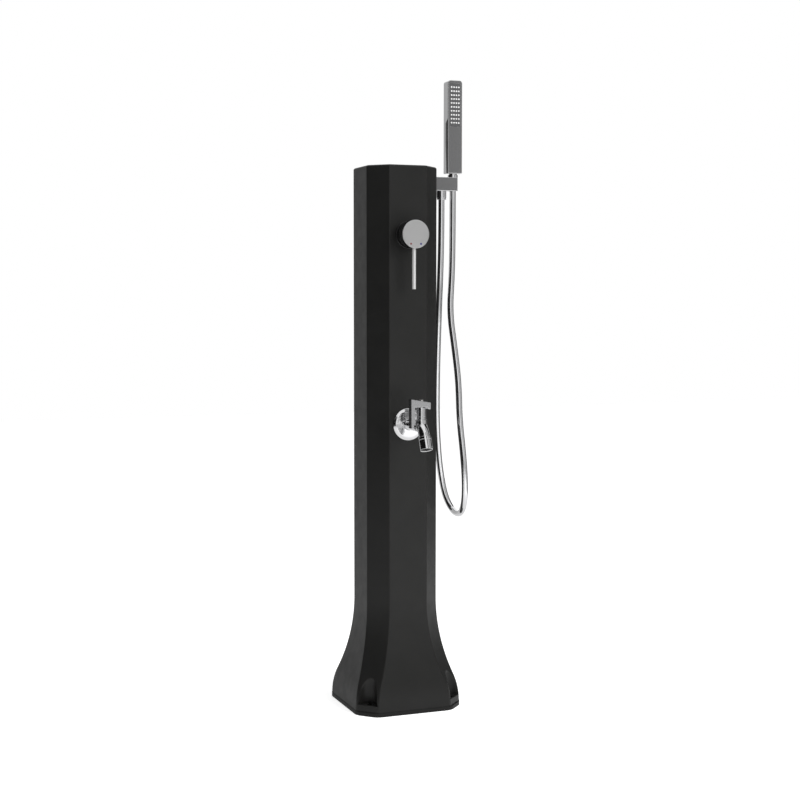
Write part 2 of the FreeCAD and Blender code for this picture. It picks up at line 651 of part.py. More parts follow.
def build_inlet():
    """Water inlet low on the back: threaded nipple, seal, nut and the tee that feeds the pipe."""
    spot = ("0", WALL_SIDE, "inlet_height")
    keep(turned("inlet", [
        ("thread_bore", "-tail_length"), ("half_inch_radius", "-tail_length"), ("half_inch_radius", "0"),
        ("nut_radius", "0"), ("nut_radius", "inlet_flange"), ("half_inch_radius", "inlet_flange"),
        ("half_inch_radius", "inlet_flange + inlet_length - 1"),
        ("half_inch_radius - 1", "inlet_flange + inlet_length"),
        ("thread_bore", "inlet_flange + inlet_length")], BACK, spot), "inlet_nipple")
    back_fixing("inlet", "half_inch_radius", BACK, spot)
    start = "-tail_length - 2 * (pipe_radius + socket_wall)"
    barrel = turned("tee_barrel", [
        ("0", start), ("half_inch_radius + socket_wall", start),
        ("half_inch_radius + socket_wall", "-tail_length + socket_depth - nut_thickness / 2"),
        ("half_inch_radius", "-tail_length + socket_depth - nut_thickness / 2"),
        ("half_inch_radius", "-tail_length"), ("thread_bore", "-tail_length"),
        ("thread_bore", start + " + socket_wall"), ("0", start + " + socket_wall")], BACK, spot)
    riser_y = "(%s - tail_length - pipe_radius - socket_wall)" % WALL_SIDE
    riser = cylinder("tee_riser", "pipe_radius + socket_wall", "half_inch_radius + 2 * socket_depth", UP,
                     ("0", riser_y, "inlet_height"))
    side = cylinder("tee_side", "pipe_radius + socket_wall", "2 * socket_depth", LEFT,
                    ("0", riser_y, "inlet_height"))
    top = "inlet_height + half_inch_radius + socket_depth"
    keep(cut("tee", fused("tee_blank", [barrel, riser, side]), [
        cylinder("tee_socket", "pipe_radius", "socket_depth", UP, ("0", riser_y, top)),
        cylinder("tee_way", "pipe_radius - pipe_wall", "half_inch_radius + 2 * socket_depth", UP,
                 ("0", riser_y, "inlet_height")),
        cylinder("tee_tank_way", "pipe_radius - pipe_wall", "2 * socket_depth", LEFT,
                 ("0", riser_y, "inlet_height")),
        cylinder("tee_clear", "thread_bore", "2 * pipe_radius + socket_wall", BACK,
                 ("0", "%s + (%s) + socket_wall" % (WALL_SIDE, start), "inlet_height")),
    ]), "inlet_tee")
    return riser_y, top


def build_pipes(riser_y, riser_top):
    """Cold riser, hot pick-up from the top of the column, and the pipe to the shower outlet."""
    port_y = "(%s + port_depth)" % WALL_FRONT
    side = "(port_length + pipe_bend + 2)"
    mouth = "(port_length - socket_depth)"
    keep(pipe("cold_pipe_run", [
        ("0", riser_y, riser_top), ("0", riser_y, "inlet_height + 90"),
        (side, port_y, "inlet_height + 240"), (side, port_y, "mixer_height"),
        (mouth, port_y, "mixer_height")]), "cold_pipe")
    keep(pipe("hot_pipe_run", [
        ("-" + mouth, port_y, "mixer_height"), ("-" + side, port_y, "mixer_height"),
        ("-" + side, port_y, "column_height - 30")]), "hot_pipe")
    keep(pipe("shower_pipe_run", [
        ("0", port_y, "mixer_height + " + mouth), ("0", port_y, "mixer_height + port_length + 30"),
        ("14", "0", "outlet_height"),
        (WALL_SIDE + " - tail_length + socket_depth - 4", "0", "outlet_height")]), "shower_pipe")


# ---------------------------------------------------------------- mixer

def build_mixer():
    """Concealed brass body, ceramic cartridge and the round cap with its lever rod."""
    spot = ("0", WALL_FRONT, "mixer_height")
    port_y = "(%s + port_depth)" % WALL_FRONT
    back = "(%s - mixer_body_length)" % SEAL_FACE
    chamber = "(cartridge_radius - cartridge_wall - socket_wall)"
    blank = turned("mixer_turning", [
        ("0", back), ("mixer_body_radius", back), ("mixer_body_radius", SEAL_FACE),
        ("mixer_neck_radius", SEAL_FACE), ("mixer_neck_radius", "mixer_neck_length"),
        ("cartridge_radius", "mixer_neck_length"), ("cartridge_radius", "-cartridge_seat"),
        ("0", "-cartridge_seat")], FRONT, spot)
    stubs, bores = [], []
    for name, turn, way in (("hot", LEFT, (-1, 0)), ("cold", RIGHT, (1, 0)), ("mixed", UP, (0, 1))):
        centre = ("0", port_y, "mixer_height")
        stubs.append(cylinder(name + "_stub", "pipe_radius + socket_wall", "port_length", turn, centre))
        mouth = "(port_length - socket_depth)"
        socket = ("%d * %s" % (way[0], mouth), port_y, "mixer_height + %d * %s" % (way[1], mouth))
        bores.append(cylinder(name + "_socket", "pipe_radius", "socket_depth", turn, socket))
        bores.append(cylinder(name + "_way", "pipe_radius - pipe_wall", "port_length", turn, centre))
    bores.append(cylinder("mixer_chamber", chamber, "port_depth - cartridge_seat", FRONT,
                          ("0", port_y, "mixer_height")))
    keep(cut("mixer", fused("mixer_blank", [blank] + stubs), bores), "mixer_body")
    keep(ring("mixer_seal_ring", "mixer_neck_radius", "mixer_neck_radius + seal_width", SEAL_FACE,
              "-shell_wall", FRONT, spot), "mixer_seal")
    lip = "(carrier_neck + 3)"
    keep(turned("sleeve", [
        ("mixer_neck_radius", "0"), ("sleeve_flange", "0"), ("sleeve_flange", "sleeve_flange_thickness - 1"),
        ("sleeve_flange - 1", "sleeve_flange_thickness"), ("sleeve_radius", "sleeve_flange_thickness"),
        ("sleeve_radius", "sleeve_length - 1"), ("sleeve_radius - 1", "sleeve_length"),
        (lip, "sleeve_length"), (lip, "sleeve_length - 3"),
        ("mixer_neck_radius", "sleeve_length - 3")], FRONT, spot), "mixer_sleeve")
    inside = "(cartridge_radius - cartridge_wall)"
    bottom = "(cartridge_bottom - cartridge_seat)"
    keep(turned("housing", [
        ("0", "-cartridge_seat"), ("cartridge_radius", "-cartridge_seat"),
        ("cartridge_radius", "cartridge_front"), ("carrier_neck + running_fit", "cartridge_front"),
        ("carrier_neck + running_fit", "cartridge_front - cartridge_lip"),
        (inside, "cartridge_front - cartridge_lip"), (inside, bottom), ("0", bottom)], FRONT, spot),
        "cartridge_housing")
    keep(ring("cartridge_ring", "carrier_neck + 1.5", "cartridge_radius", "cartridge_front",
              "mixer_neck_length + 1", FRONT, spot), "cartridge_nut")
    disc = "(%s + disc_thickness)" % bottom
    keep(ring("lower_disc", "2", inside, bottom, disc, FRONT, spot), "fixed_disc")
    moving = "(%s + disc_gap)" % disc
    recess = "(stem_radius + 0.7)"
    keep(turned("upper_disc", [
        ("0", moving), ("disc_radius", moving), ("disc_radius", moving + " + disc_thickness"),
        (recess, moving + " + disc_thickness"), (recess, moving + " + disc_thickness / 2"),
        ("0", moving + " + disc_thickness / 2")], FRONT, spot), "moving_disc")
    base = "(%s + disc_thickness + face_gap)" % moving
    shoulder = "(cartridge_front - cartridge_lip - face_gap)"
    reach = "(%s - running_fit - 0.4)" % inside
    carrier = turned("carrier_turning", [
        ("0", base), (reach, base), (reach, shoulder), ("carrier_neck", shoulder),
        ("carrier_neck", "carrier_front"), ("0", "carrier_front")], FRONT, spot)
    slot = "(stem_radius + 0.2)"
    pivot_y = "(%s - pivot_front)" % WALL_FRONT
    keep(cut("carrier", carrier, [
        block("carrier_slot_back", ("2 * " + slot, "pivot_front - " + base, "2 * disc_radius + 4"),
              ("-" + slot, pivot_y, "mixer_height - disc_radius - 2")),
        block("carrier_slot_front", ("2 * " + slot, "carrier_front - pivot_front", "2 * carrier_neck - 5"),
              ("-" + slot, WALL_FRONT + " - carrier_front", "mixer_height - carrier_neck + 2.5")),
        cylinder("carrier_pin_bore", "pivot_radius", "2 * " + reach, RIGHT,
                 ("-" + reach, pivot_y, "mixer_height")),
    ]), "cartridge_carrier")
    keep(cylinder("pivot", "pivot_radius", "2 * %s - 2" % reach, RIGHT,
                  ("1 - " + reach, pivot_y, "mixer_height")), "pivot_pin")
    tip = "(%s + disc_thickness / 2 + 0.4)" % moving
    boss_end = "(cap_front - cap_face - 1)"
    stem = turned("stem_turning", [
        ("0", tip), ("stem_radius - 1.5", tip), ("stem_radius", tip + " + 1.5"),
        ("stem_radius", boss_end), ("0", boss_end)], FRONT, spot)
    keep(cut("stem", stem, [cylinder("stem_pin_bore", "pivot_radius + running_fit / 2", "4 * stem_radius",
                                     RIGHT, ("-2 * stem_radius", pivot_y, "mixer_height"))]), "lever_stem")
    build_cap(spot, boss_end)


def build_cap(spot, boss_end):
    """Round cap with a boss on the stem, its rod, grub screw and the two colour marks."""
    boss_start = "(rod_front - rod_radius - 2)"
    cap = turned("cap_turning", [
        ("cap_radius - cap_wall", "cap_back"), ("cap_radius", "cap_back"), ("cap_radius", "cap_front - 1"),
        ("cap_radius - 1", "cap_front"), ("0", "cap_front"), ("0", boss_end), ("stem_radius", boss_end),
        ("stem_radius", boss_start), ("cap_boss", boss_start), ("cap_boss", "cap_front - cap_face"),
        ("cap_radius - cap_wall", "cap_front - cap_face")], FRONT, spot)
    rod_y = "(%s - rod_front)" % WALL_FRONT
    rod_end = "(mixer_height - stem_radius - 1)"
    screw_y = rod_y
    face_y = "(%s - cap_front + mark_depth)" % WALL_FRONT
    tools = [
        cylinder("rod_bore", "rod_radius", "cap_radius", DOWN, ("0", rod_y, rod_end)),
        cylinder("screw_bore", "rod_radius / 2", "cap_radius", UP, ("0", screw_y, "mixer_height + stem_radius")),
    ]
    for name, side in (("hot", "-mark_side"), ("cold", "mark_side")):
        tools.append(cylinder(name + "_recess", "mark_radius", "mark_depth", FRONT,
                              (side, face_y, "mixer_height - mark_drop")))
        keep(cylinder(name + "_dot", "mark_radius", "mark_depth + 0.1", FRONT,
                      (side, face_y, "mixer_height - mark_drop")), name + "_mark")
    keep(cut("cap", cap, tools), "mixer_cap")
    keep(turned("rod", [
        ("0", "0"), ("rod_radius", "0"), ("rod_radius", "rod_reach - stem_radius - 1.6"),
        ("rod_radius - 0.6", "rod_reach - stem_radius - 1"), ("0", "rod_reach - stem_radius - 1")],
        DOWN, ("0", rod_y, rod_end)), "lever_rod")
    keep(cylinder("grub", "rod_radius / 2", "cap_boss - stem_radius - 1", UP,
                  ("0", screw_y, "mixer_height + stem_radius")), "cap_screw")


# ---------------------------------------------------------------- foot tap

def build_tap():
    """Bib tap: body with rosette, bonnet, quarter-turn spindle with its handle, and the spout."""
    wall = ("0", WALL_FRONT, "tap_height")
    valve_y = "(%s - valve_front)" % WALL_FRONT
    valve = ("0", valve_y, "tap_height")
    spout = Rotation(Vector(1, 0, 0), 180 - value("spout_tilt"))
    barrel_length = "valve_front - rosette_thickness"
    solid = fused("tap_blank", [
        cylinder("tap_tail", "half_inch_radius", "tail_length + rosette_thickness", FRONT,
                 ("0", WALL_FRONT + " + tail_length", "tap_height")),
        cylinder("tap_barrel", "barrel_radius", barrel_length, FRONT,
                 ("0", WALL_FRONT + " - rosette_thickness", "tap_height")),
        turned("tap_chamber", [
            ("0", "-valve_bottom"), ("valve_radius - 4", "-valve_bottom"), ("valve_radius", "4 - valve_bottom"),
            ("valve_radius", "valve_top - 1"), ("valve_radius - 1", "valve_top"), ("0", "valve_top")],
            UP, valve),
        cylinder("tap_spout", "spout_radius", "spout_length", spout, valve)])
    keep(cut("tap", solid, [
        cylinder("tap_tail_bore", "tap_bore", "tail_length + valve_front", FRONT,
                 ("0", WALL_FRONT + " + tail_length", "tap_height")),
        cylinder("tap_valve_bore", "valve_bore", "valve_top + seat_depth", UP,
                 ("0", valve_y, "tap_height - seat_depth")),
        cylinder("tap_seat_way", "spout_bore", "seat_depth", UP,
                 ("0", valve_y, "tap_height - 2 * seat_depth")),
        cylinder("tap_spout_bore", "spout_bore", "spout_length - seat_depth - 5", spout,
                 ("0", "%s - (seat_depth + 5) * sin(spout_tilt)" % valve_y,
                  "tap_height - (seat_depth + 5) * cos(spout_tilt)")),
    ]), "tap_body")
    keep(turned("rosette", [
        ("half_inch_radius", "0"), ("rosette_radius", "0"), ("rosette_radius", "1.5"),
        ("rosette_radius - 3", "rosette_thickness - 3"), ("rosette_radius / 2", "rosette_thickness - 0.5"),
        ("barrel_radius", "rosette_thickness"), ("half_inch_radius", "rosette_thickness")],
        FRONT, wall), "tap_rosette")
    back_fixing("tap", "half_inch_radius", FRONT, wall)

    seat = "(seat_thickness - seat_depth)"
    disc_low = "(%s + disc_gap)" % seat
    disc_high = "(%s + tap_disc_thickness)" % disc_low
    seat_ports, disc_ports = [], []
    for number, side in enumerate(("", "-"), start=1):
        seat_ports.append(cylinder("seat_port_%d" % number, "tap_port_radius", "seat_thickness", UP,
                                   (side + "tap_port_reach", valve_y, "tap_height - seat_depth")))
        disc_ports.append(cylinder("disc_port_%d" % number, "tap_port_radius", "tap_disc_thickness", UP,
                                   ("0", "%s + %stap_port_reach" % (valve_y, side), "tap_height + " + disc_low)))
    keep(cut("seat", cylinder("seat_blank", "valve_bore", "seat_thickness", UP,
                              ("0", valve_y, "tap_height - seat_depth")), seat_ports), "tap_seat")
    keep(cut("turning_disc", cylinder("disc_blank", "valve_bore - 4 * running_fit", "tap_disc_thickness", UP,
                                      ("0", valve_y, "tap_height + " + disc_low)), disc_ports), "tap_disc")
    keep(turned("bonnet", [
        ("spindle_radius + running_fit", "bonnet_foot"), ("valve_bore", "bonnet_foot"),
        ("valve_bore", "valve_top"), ("bonnet_radius", "valve_top"), ("bonnet_radius", "bonnet_top - 0.6"),
        ("bonnet_radius - 0.6", "bonnet_top"), ("spindle_radius + running_fit", "bonnet_top")],
        UP, valve), "tap_bonnet")
    flange = "(bonnet_foot - face_gap)"
    flange_low = "(%s - spindle_flange_thickness)" % flange
    keep(turned("spindle", [
        ("0", disc_high), ("spindle_drive", disc_high), ("spindle_drive", flange_low),
        ("spindle_flange", flange_low), ("spindle_flange", flange), ("spindle_radius", flange),
        ("spindle_radius", "spindle_top"), ("handle_screw_radius", "spindle_top"),
        ("handle_screw_radius", "spindle_top - 8"), ("0", "spindle_top - 8")], UP, valve), "tap_spindle")
    build_tap_handle(valve, valve_y)
    build_tap_outlet(spout, valve)


def build_tap_handle(valve, valve_y):
    """Angular handle: a bar over the bonnet and a grip that hangs down on its left."""
    under = "(bonnet_top + handle_gap)"
    blank = padded("handle_blank", "XZ_Plane", [
        ("-handle_left", "handle_high", "1"), ("-handle_left", "1.5 - grip_bottom", "1"),
        ("handle_plate * 0.2 - handle_left", "-grip_bottom", "0.8"),
        ("handle_plate - handle_left", "grip_cut", "0.8"), ("handle_plate - handle_left", under),
        ("bonnet_radius + 1", under), ("bonnet_radius + 4", "handle_thumb", "1"),
        ("handle_right", "handle_thumb", "1"), ("handle_right", "handle_low", "1")],
        "handle_width", ("0", "%s + handle_width / 2" % valve_y, "tap_height"))
    slope = "((handle_high - handle_low) / (handle_left + handle_right))"
    top = "(handle_high - handle_left * %s)" % slope
    sink = "(%s - 1.6)" % top
    keep(cut("handle", blank, [
        cylinder("handle_spindle_bore", "spindle_radius", "spindle_top - " + under, UP,
                 ("0", valve_y, "tap_height + " + under)),
        cylinder("handle_screw_bore", "handle_screw_radius", "20", UP,
                 ("0", valve_y, "tap_height + spindle_top - 8")),
        cylinder("handle_screw_sink", "handle_screw_head", "20", UP, ("0", valve_y, "tap_height + " + sink)),
    ]), "tap_handle")
    keep(turned("handle_screw_turning", [
        ("0", "spindle_top - 7"), ("handle_screw_radius", "spindle_top - 7"), ("handle_screw_radius", sink),
        ("handle_screw_head", sink), ("handle_screw_head", sink + " + 3.6"),
        ("handle_screw_head - 0.8", sink + " + 4.4"), ("0", sink + " + 4.4")], UP, valve), "tap_handle_screw")


def build_tap_outlet(spout, valve):
    """Sleeve on the spout's end, with the aerator disc inside it."""
    keep(turned("spout_sleeve", [
        ("spout_radius", "outlet_start"), ("outlet_radius - 1", "outlet_start"),
        ("outlet_radius", "outlet_start + 1"), ("outlet_radius", "outlet_end - 0.6"),
        ("outlet_radius - 0.6", "outlet_end"), ("spout_radius", "outlet_end")], spout, valve), "spout_sleeve")
    disc = turned("aerator_blank", [
        ("0", "spout_length"), ("spout_radius", "spout_length"),
        ("spout_radius", "spout_length + aerator_thickness"), ("0", "spout_length + aerator_thickness")],
        spout, valve)
    holes = []
    for number in range(7):
        angle = math.radians(60 * number)
        share = 0 if number == 6 else 1
        way = spout.multVec(Vector(share * math.cos(angle), share * math.sin(angle), 0))
        along = spout.multVec(Vector(0, 0, 1))
        centre = ["(%s) + (%.6f) * spout_bore * 0.6 + (%.6f) * spout_length" % (text, side, down)
                  for text, side, down in zip(valve, way, along)]
        holes.append(cylinder("aerator_hole_%d" % (number + 1), "spout_bore / 6", "aerator_thickness",
                              spout, centre))
    keep(cut("aerator", disc, holes), "tap_aerator")


# ---------------------------------------------------------------- holder, hose and handset

HOLDER_LOW = "(outlet_height - holder_thickness / 2)"
HOSE_X = "(%s + hose_offset)" % WALL_SIDE
HANDSET_X = "(%s + handset_offset)" % WALL_SIDE
CONE_BOTTOM = "(swivel_bottom + swivel_collar + face_gap)"
CONE_TAPER = "((cone_high_radius - cone_low_radius) / (cone_top - cone_rim - %s))" % CONE_BOTTOM


def build_holder():
    """Outlet through the wall and the square block that carries hose and handset."""
    spot = (WALL_SIDE, "0", "outlet_height")
    keep(turned("outlet", [
        ("thread_bore", "nipple_front"), ("thread_bore", "socket_depth - 4 - tail_length"),
        ("pipe_radius", "socket_depth - 4 - tail_length"), ("pipe_radius", "-tail_length"),
        ("half_inch_radius", "-tail_length"), ("half_inch_radius", "nipple_front")], RIGHT, spot),
        "outlet_nipple")
    back_fixing("outlet", "half_inch_radius", RIGHT, spot)
    edge = "holder_width / 2"
    blank = padded("holder_blank", "XY_Plane", [
        ("0", "-" + edge), ("holder_reach", "-" + edge, "holder_round"),
        ("holder_reach", edge, "holder_round"), ("0", edge)], "holder_thickness",
        (WALL_SIDE, "0", HOLDER_LOW))
    low = "(cone_low_radius + running_fit - (%s - %s) * %s)" % (CONE_BOTTOM, HOLDER_LOW, CONE_TAPER)
    socket = turned("holder_socket", [
        ("0", "0"), (low, "0"), ("%s + holder_thickness * %s" % (low, CONE_TAPER), "holder_thickness"),
        ("0", "holder_thickness")], UP, (HANDSET_X, "0", HOLDER_LOW))
    keep(cut("holder", blank, [
        socket,
        cylinder("holder_nipple_bore", "half_inch_radius", "nipple_front", RIGHT, spot),
        cylinder("holder_cross_way", "connector_bore - 1", "hose_offset", RIGHT, spot),
        cylinder("holder_down_way", "connector_bore - 2", "holder_thickness / 2", UP, (HOSE_X, "0", HOLDER_LOW)),
        cylinder("holder_thread", "connector_radius", "connector_bite", UP, (HOSE_X, "0", HOLDER_LOW)),
    ]), "holder_block")
    nut_top = "(-hose_nut_gap)"
    nut_low = "(%s - hose_nut_length)" % nut_top
    floor = "(%s + hose_nut_floor)" % nut_low
    column = (HOSE_X, "0", HOLDER_LOW)
    keep(turned("outlet_hose_nut", [
        ("connector_bore", nut_low), ("hose_nut_radius - 1", nut_low), ("hose_nut_radius", nut_low + " + 1"),
        ("hose_nut_radius", nut_top + " - 0.6"), ("hose_nut_radius - 0.6", nut_top),
        ("connector_radius", nut_top), ("connector_radius", floor), ("connector_bore", floor)], UP, column),
        "hose_nut")
    keep(ring("outlet_hose_washer", "connector_bore", "connector_radius", floor,
              floor + " + washer_thickness", UP, column), "hose_washer")
    keep(ring("outlet_connector", "connector_bore", "connector_radius", floor + " + washer_thickness",
              "connector_bite", UP, column), "hose_connector")
    return "(%s + %s)" % (HOLDER_LOW, nut_low)


# the hose's route, chosen by eye: down from the outlet, behind the right side, one loop, up in front
HOSE_ROUTE = [
    (110, 0, 1010), (108, 8, 880), (111, 26, 745), (115, 39, 625), (124, 48, 540), (132, 51, 490),
    (142, 49, 442), (150, 21, 413), (149, -22, 413), (146, -50, 442), (146, -53, 490), (142, -52, 550),
    (135, -46, 630), (137, -36, 710), (132, -25, 785), (124, -15, 865), (134, -4, 950), (137, 0, 1045),
]


def build_hose(nut_low):
    """The hose that hangs between the outlet's nut and the swivel under the handset."""
    start = Vector(value(HOSE_X), 0, value(nut_low))
    end = Vector(value(HANDSET_X), 0, value("swivel_bottom"))
    points = [start] + [Vector(*spot) for spot in HOSE_ROUTE] + [end]
    points[1].x = start.x
    points[-2].x = end.x
    wire, radii = bend_wire(points, lambda run, half: 0.45 * run * math.tan(half))
    radius = value("hose_radius")
    item = doc.addObject("Part::Feature", "hose_run")
    item.Shape = swept(wire, points, radius)
    keep(item, "shower_hose")
    print("hose length %.0f, bend radii %s" % (wire.Length, " ".join("%.0f" % r for r in radii)))
    print("hose volume over section times length: %.4f"
          % (item.Shape.Volume / (math.pi * radius ** 2 * wire.Length)))


def build_cone():
    """Swivel at the hose's end, and the cone nut that turns on it with the handset."""
    axis = (HANDSET_X, "0", "0")
    collar = "(swivel_bottom + swivel_collar)"
    floor = "(%s + cone_floor)" % CONE_BOTTOM
    head = "(%s + face_gap)" % floor
    keep(turned("swivel", [
        ("2.5", "swivel_bottom"), ("hose_radius", "swivel_bottom"), ("hose_radius", collar),
        ("swivel_stem", collar), ("swivel_stem", head), ("swivel_head", head),
        ("swivel_head", head + " + swivel_head_thickness"), ("2.5", head + " + swivel_head_thickness")],
        UP, axis), "hose_swivel")
    keep(turned("cone", [
        ("swivel_stem + running_fit", CONE_BOTTOM), ("cone_low_radius", CONE_BOTTOM),
        ("cone_high_radius", "cone_top - cone_rim"), ("cone_high_radius", "cone_top"),
        ("connector_radius", "cone_top"), ("connector_radius", floor),
        ("swivel_stem + running_fit", floor)], UP, axis), "cone_nut")
    washer = "(%s + swivel_head_thickness + disc_gap)" % head
    keep(ring("cone_washer_ring", "connector_bore", "connector_radius", washer,
              washer + " + washer_thickness", UP, axis), "cone_washer")
    return "(%s + washer_thickness)" % washer


def build_handset(connector_low):
    """Stick hand shower: shell, front cover, black inlay, spray plate, nozzle mat, water way."""
    half = "handset_width / 2"
    front = "(-handset_depth / 2)"
    behind = "(%s + cover_thickness)" % front
    top = "(handset_bottom + handset_length)"
    blank = padded("handset_blank", "XZ_Plane", [
        ("-" + half, "0", "handset_edge"), (half, "0", "handset_edge"),
        (half, "handset_length", "handset_corner"), ("-" + half, "handset_length", "handset_corner")],
        "handset_depth", (HANDSET_X, "handset_depth / 2", "handset_bottom"))
    inner = "(handset_width / 2 - handset_wall)"
    cavity = padded("handset_cavity", "XZ_Plane", [
        ("-" + inner, "handset_wall", "1"), (inner, "handset_wall", "1"),
        (inner, "handset_length - handset_wall", "handset_corner - handset_wall"),
        ("-" + inner, "handset_length - handset_wall", "handset_corner - handset_wall")],
        "handset_depth - handset_wall - cover_thickness",
        (HANDSET_X, "handset_depth / 2 - handset_wall", "handset_bottom"))
    wedge = padded("inlay_wedge", "YZ_Plane", [
        (behind, "0"), (behind + " + inlay_depth", "0"), (behind + " + inlay_depth * 0.9", "inlay_height * 0.6"),
        (behind, "inlay_height")], "handset_width", (HANDSET_X + " - " + half, "0", "handset_bottom"))
    slab = block("cover_slab", ("handset_width", "cover_thickness", "handset_length"),
                 (HANDSET_X + " - " + half, front, "handset_bottom"))
    neck_bore = cylinder("neck_bore", "handset_neck", "handset_neck_length", UP,
                         (HANDSET_X, "0", "handset_bottom"))
    spray_low = "(%s - spray_top - spray_height)" % top
    window_half = "spray_width / 2"
    plate_corners = [("-" + window_half, "0", "2"), (window_half, "0", "2"),
                     (window_half, "spray_height", "2"), ("-" + window_half, "spray_height", "2")]
    window = padded("spray_window", "XZ_Plane", plate_corners, "handset_depth / 2 + 2",
                    (HANDSET_X, "2", spray_low))
    keep(cut("back_shell", blank, [slab, wedge, cavity, neck_bore]), "handset_shell")
    keep(cut("cover", shared("cover_blank", [blank, slab]), [window]), "handset_cover")
    keep(cut("inlay", shared("inlay_blank", [blank, wedge]), [cavity, neck_bore]), "handset_inlay")

    plate_back = "(%s + spray_sink + spray_thickness)" % front
    plate = padded("spray_plate_blank", "XZ_Plane", plate_corners, "spray_thickness",
                   (HANDSET_X, plate_back, spray_low))
    holes, nozzles = [], []
    for column in range(int(value("nozzle_columns"))):
        for row in range(int(value("nozzle_rows"))):
            centre = ("%s + (%d - (nozzle_columns - 1) / 2) * nozzle_side_pitch" % (HANDSET_X, column),
                      plate_back,
                      "%s + spray_height / 2 + (%d - (nozzle_rows - 1) / 2) * nozzle_up_pitch"
                      % (spray_low, row))
            tag = "%d_%d" % (column + 1, row + 1)
            holes.append(cylinder("hole_" + tag, "nozzle_radius", "spray_thickness", FRONT, centre))
            nozzles.append(cylinder("nozzle_" + tag, "nozzle_radius", "spray_thickness + nozzle_proud",
                                    FRONT, centre))
    keep(cut("spray", plate, holes), "spray_plate")
    mat_back = "(%s + mat_thickness)" % plate_back
    mat = padded("mat_blank", "XZ_Plane", plate_corners, "mat_thickness", (HANDSET_X, mat_back, spray_low))
    keep(fused("mat", [mat] + nozzles), "nozzle_mat")

    chamber = block("chamber_blank", ("spray_width", "chamber_depth", "spray_height"),
                    (HANDSET_X + " - " + window_half, mat_back, spray_low))
    keep(cut("chamber", chamber, [
        block("chamber_room", ("spray_width - 2 * chamber_wall", "chamber_depth - chamber_wall",
                               "spray_height - 2 * chamber_wall"),
              (HANDSET_X + " - " + window_half + " + chamber_wall", mat_back, spray_low + " + chamber_wall")),
        cylinder("chamber_inlet", "channel_bore + chamber_wall", "2 * chamber_wall", UP,
                 (HANDSET_X, "0", spray_low)),
    ]), "spray_chamber")
    neck_top = "(handset_bottom + handset_neck_length)"
    tube = "(channel_bore + chamber_wall)"
    keep(turned("neck", [
        ("connector_bore", connector_low), ("connector_radius", connector_low),
        ("connector_radius", "handset_bottom"), ("handset_neck", "handset_bottom"),
        ("handset_neck", neck_top), (tube, neck_top), (tube, neck_top + " - socket_depth / 2"),
        ("connector_bore - 1", neck_top + " - socket_depth / 2"),
        ("connector_bore - 1", connector_low + " + 2"), ("connector_bore", connector_low + " + 2")],
        UP, (HANDSET_X, "0", "0")), "handset_connector")
    keep(ring("channel", "channel_bore", tube, neck_top + " - socket_depth / 2",
              spray_low + " + chamber_wall", UP, (HANDSET_X, "0", "0")), "handset_tube")


build_column()
build_pipes(*build_inlet())
build_mixer()
build_tap()
build_hose(build_holder())
build_handset(build_cone())
doc.recompute()

for item in doc.Objects:
    if "Invalid" in item.State or "Error" in item.State:
        raise RuntimeError("%s could not be built" % item.Label)
for name, item in PARTS.items():
    if item.Shape.isNull() or not item.Shape.isValid():
        raise RuntimeError("%s has no sound shape" % name)

os.makedirs("parts", exist_ok=True)
for name, item in PARTS.items():
    item.Shape.exportStep("parts/%s.step" % name)
print("%d pieces written" % len(PARTS))
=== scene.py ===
"""Dresses the outdoor shower post: finishes, detailed pieces, hanging hose, studio and camera."""

import json
import logging
import math
from dataclasses import dataclass, field
from enum import Enum
from typing import Callable, Iterable, Sequence

import bmesh
import bpy
from mathutils import Matrix, Vector
from mathutils.geometry import interpolate_bezier


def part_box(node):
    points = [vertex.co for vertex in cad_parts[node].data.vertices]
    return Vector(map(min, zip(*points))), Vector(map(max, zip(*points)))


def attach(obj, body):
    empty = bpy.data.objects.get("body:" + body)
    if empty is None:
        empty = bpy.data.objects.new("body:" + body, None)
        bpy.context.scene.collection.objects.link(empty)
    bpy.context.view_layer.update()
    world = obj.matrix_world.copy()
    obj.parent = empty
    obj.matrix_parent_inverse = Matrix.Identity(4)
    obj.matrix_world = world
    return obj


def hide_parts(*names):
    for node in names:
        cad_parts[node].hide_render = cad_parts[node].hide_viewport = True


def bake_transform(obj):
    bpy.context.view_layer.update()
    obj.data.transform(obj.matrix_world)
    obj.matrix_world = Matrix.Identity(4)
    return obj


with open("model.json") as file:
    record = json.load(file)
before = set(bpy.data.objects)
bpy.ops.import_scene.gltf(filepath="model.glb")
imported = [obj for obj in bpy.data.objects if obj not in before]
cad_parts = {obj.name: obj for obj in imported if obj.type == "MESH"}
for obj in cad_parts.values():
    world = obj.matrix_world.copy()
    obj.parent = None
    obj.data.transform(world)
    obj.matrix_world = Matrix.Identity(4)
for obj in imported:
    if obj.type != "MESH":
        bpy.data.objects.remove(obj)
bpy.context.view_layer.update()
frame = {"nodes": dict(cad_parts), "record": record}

logging.basicConfig(level=logging.INFO, format="%(message)s")
log = logging.getLogger("shower_post")

Point = tuple[float, float, float]
Flat = tuple[float, float]
UP = Vector((0, 0, 1))
DOWN = Vector((0, 0, -1))
FRONT = Vector((0, -1, 0))
BACK = Vector((0, 1, 0))
RIGHT = Vector((1, 0, 0))


class Body(Enum):
    """The rigid bodies that pieces ride on."""

    POST = "root"
    MIXER_TURN = "mixer_turn"
    MIXER_LIFT = "mixer_lift"
    MIXER_DISC = "mixer_disc"
    TAP_LEVER = "tap_lever"
    HOSE_END = "hose_end"
    HANDSET = "handset"


# ------------------------------------------------------------------ finishes


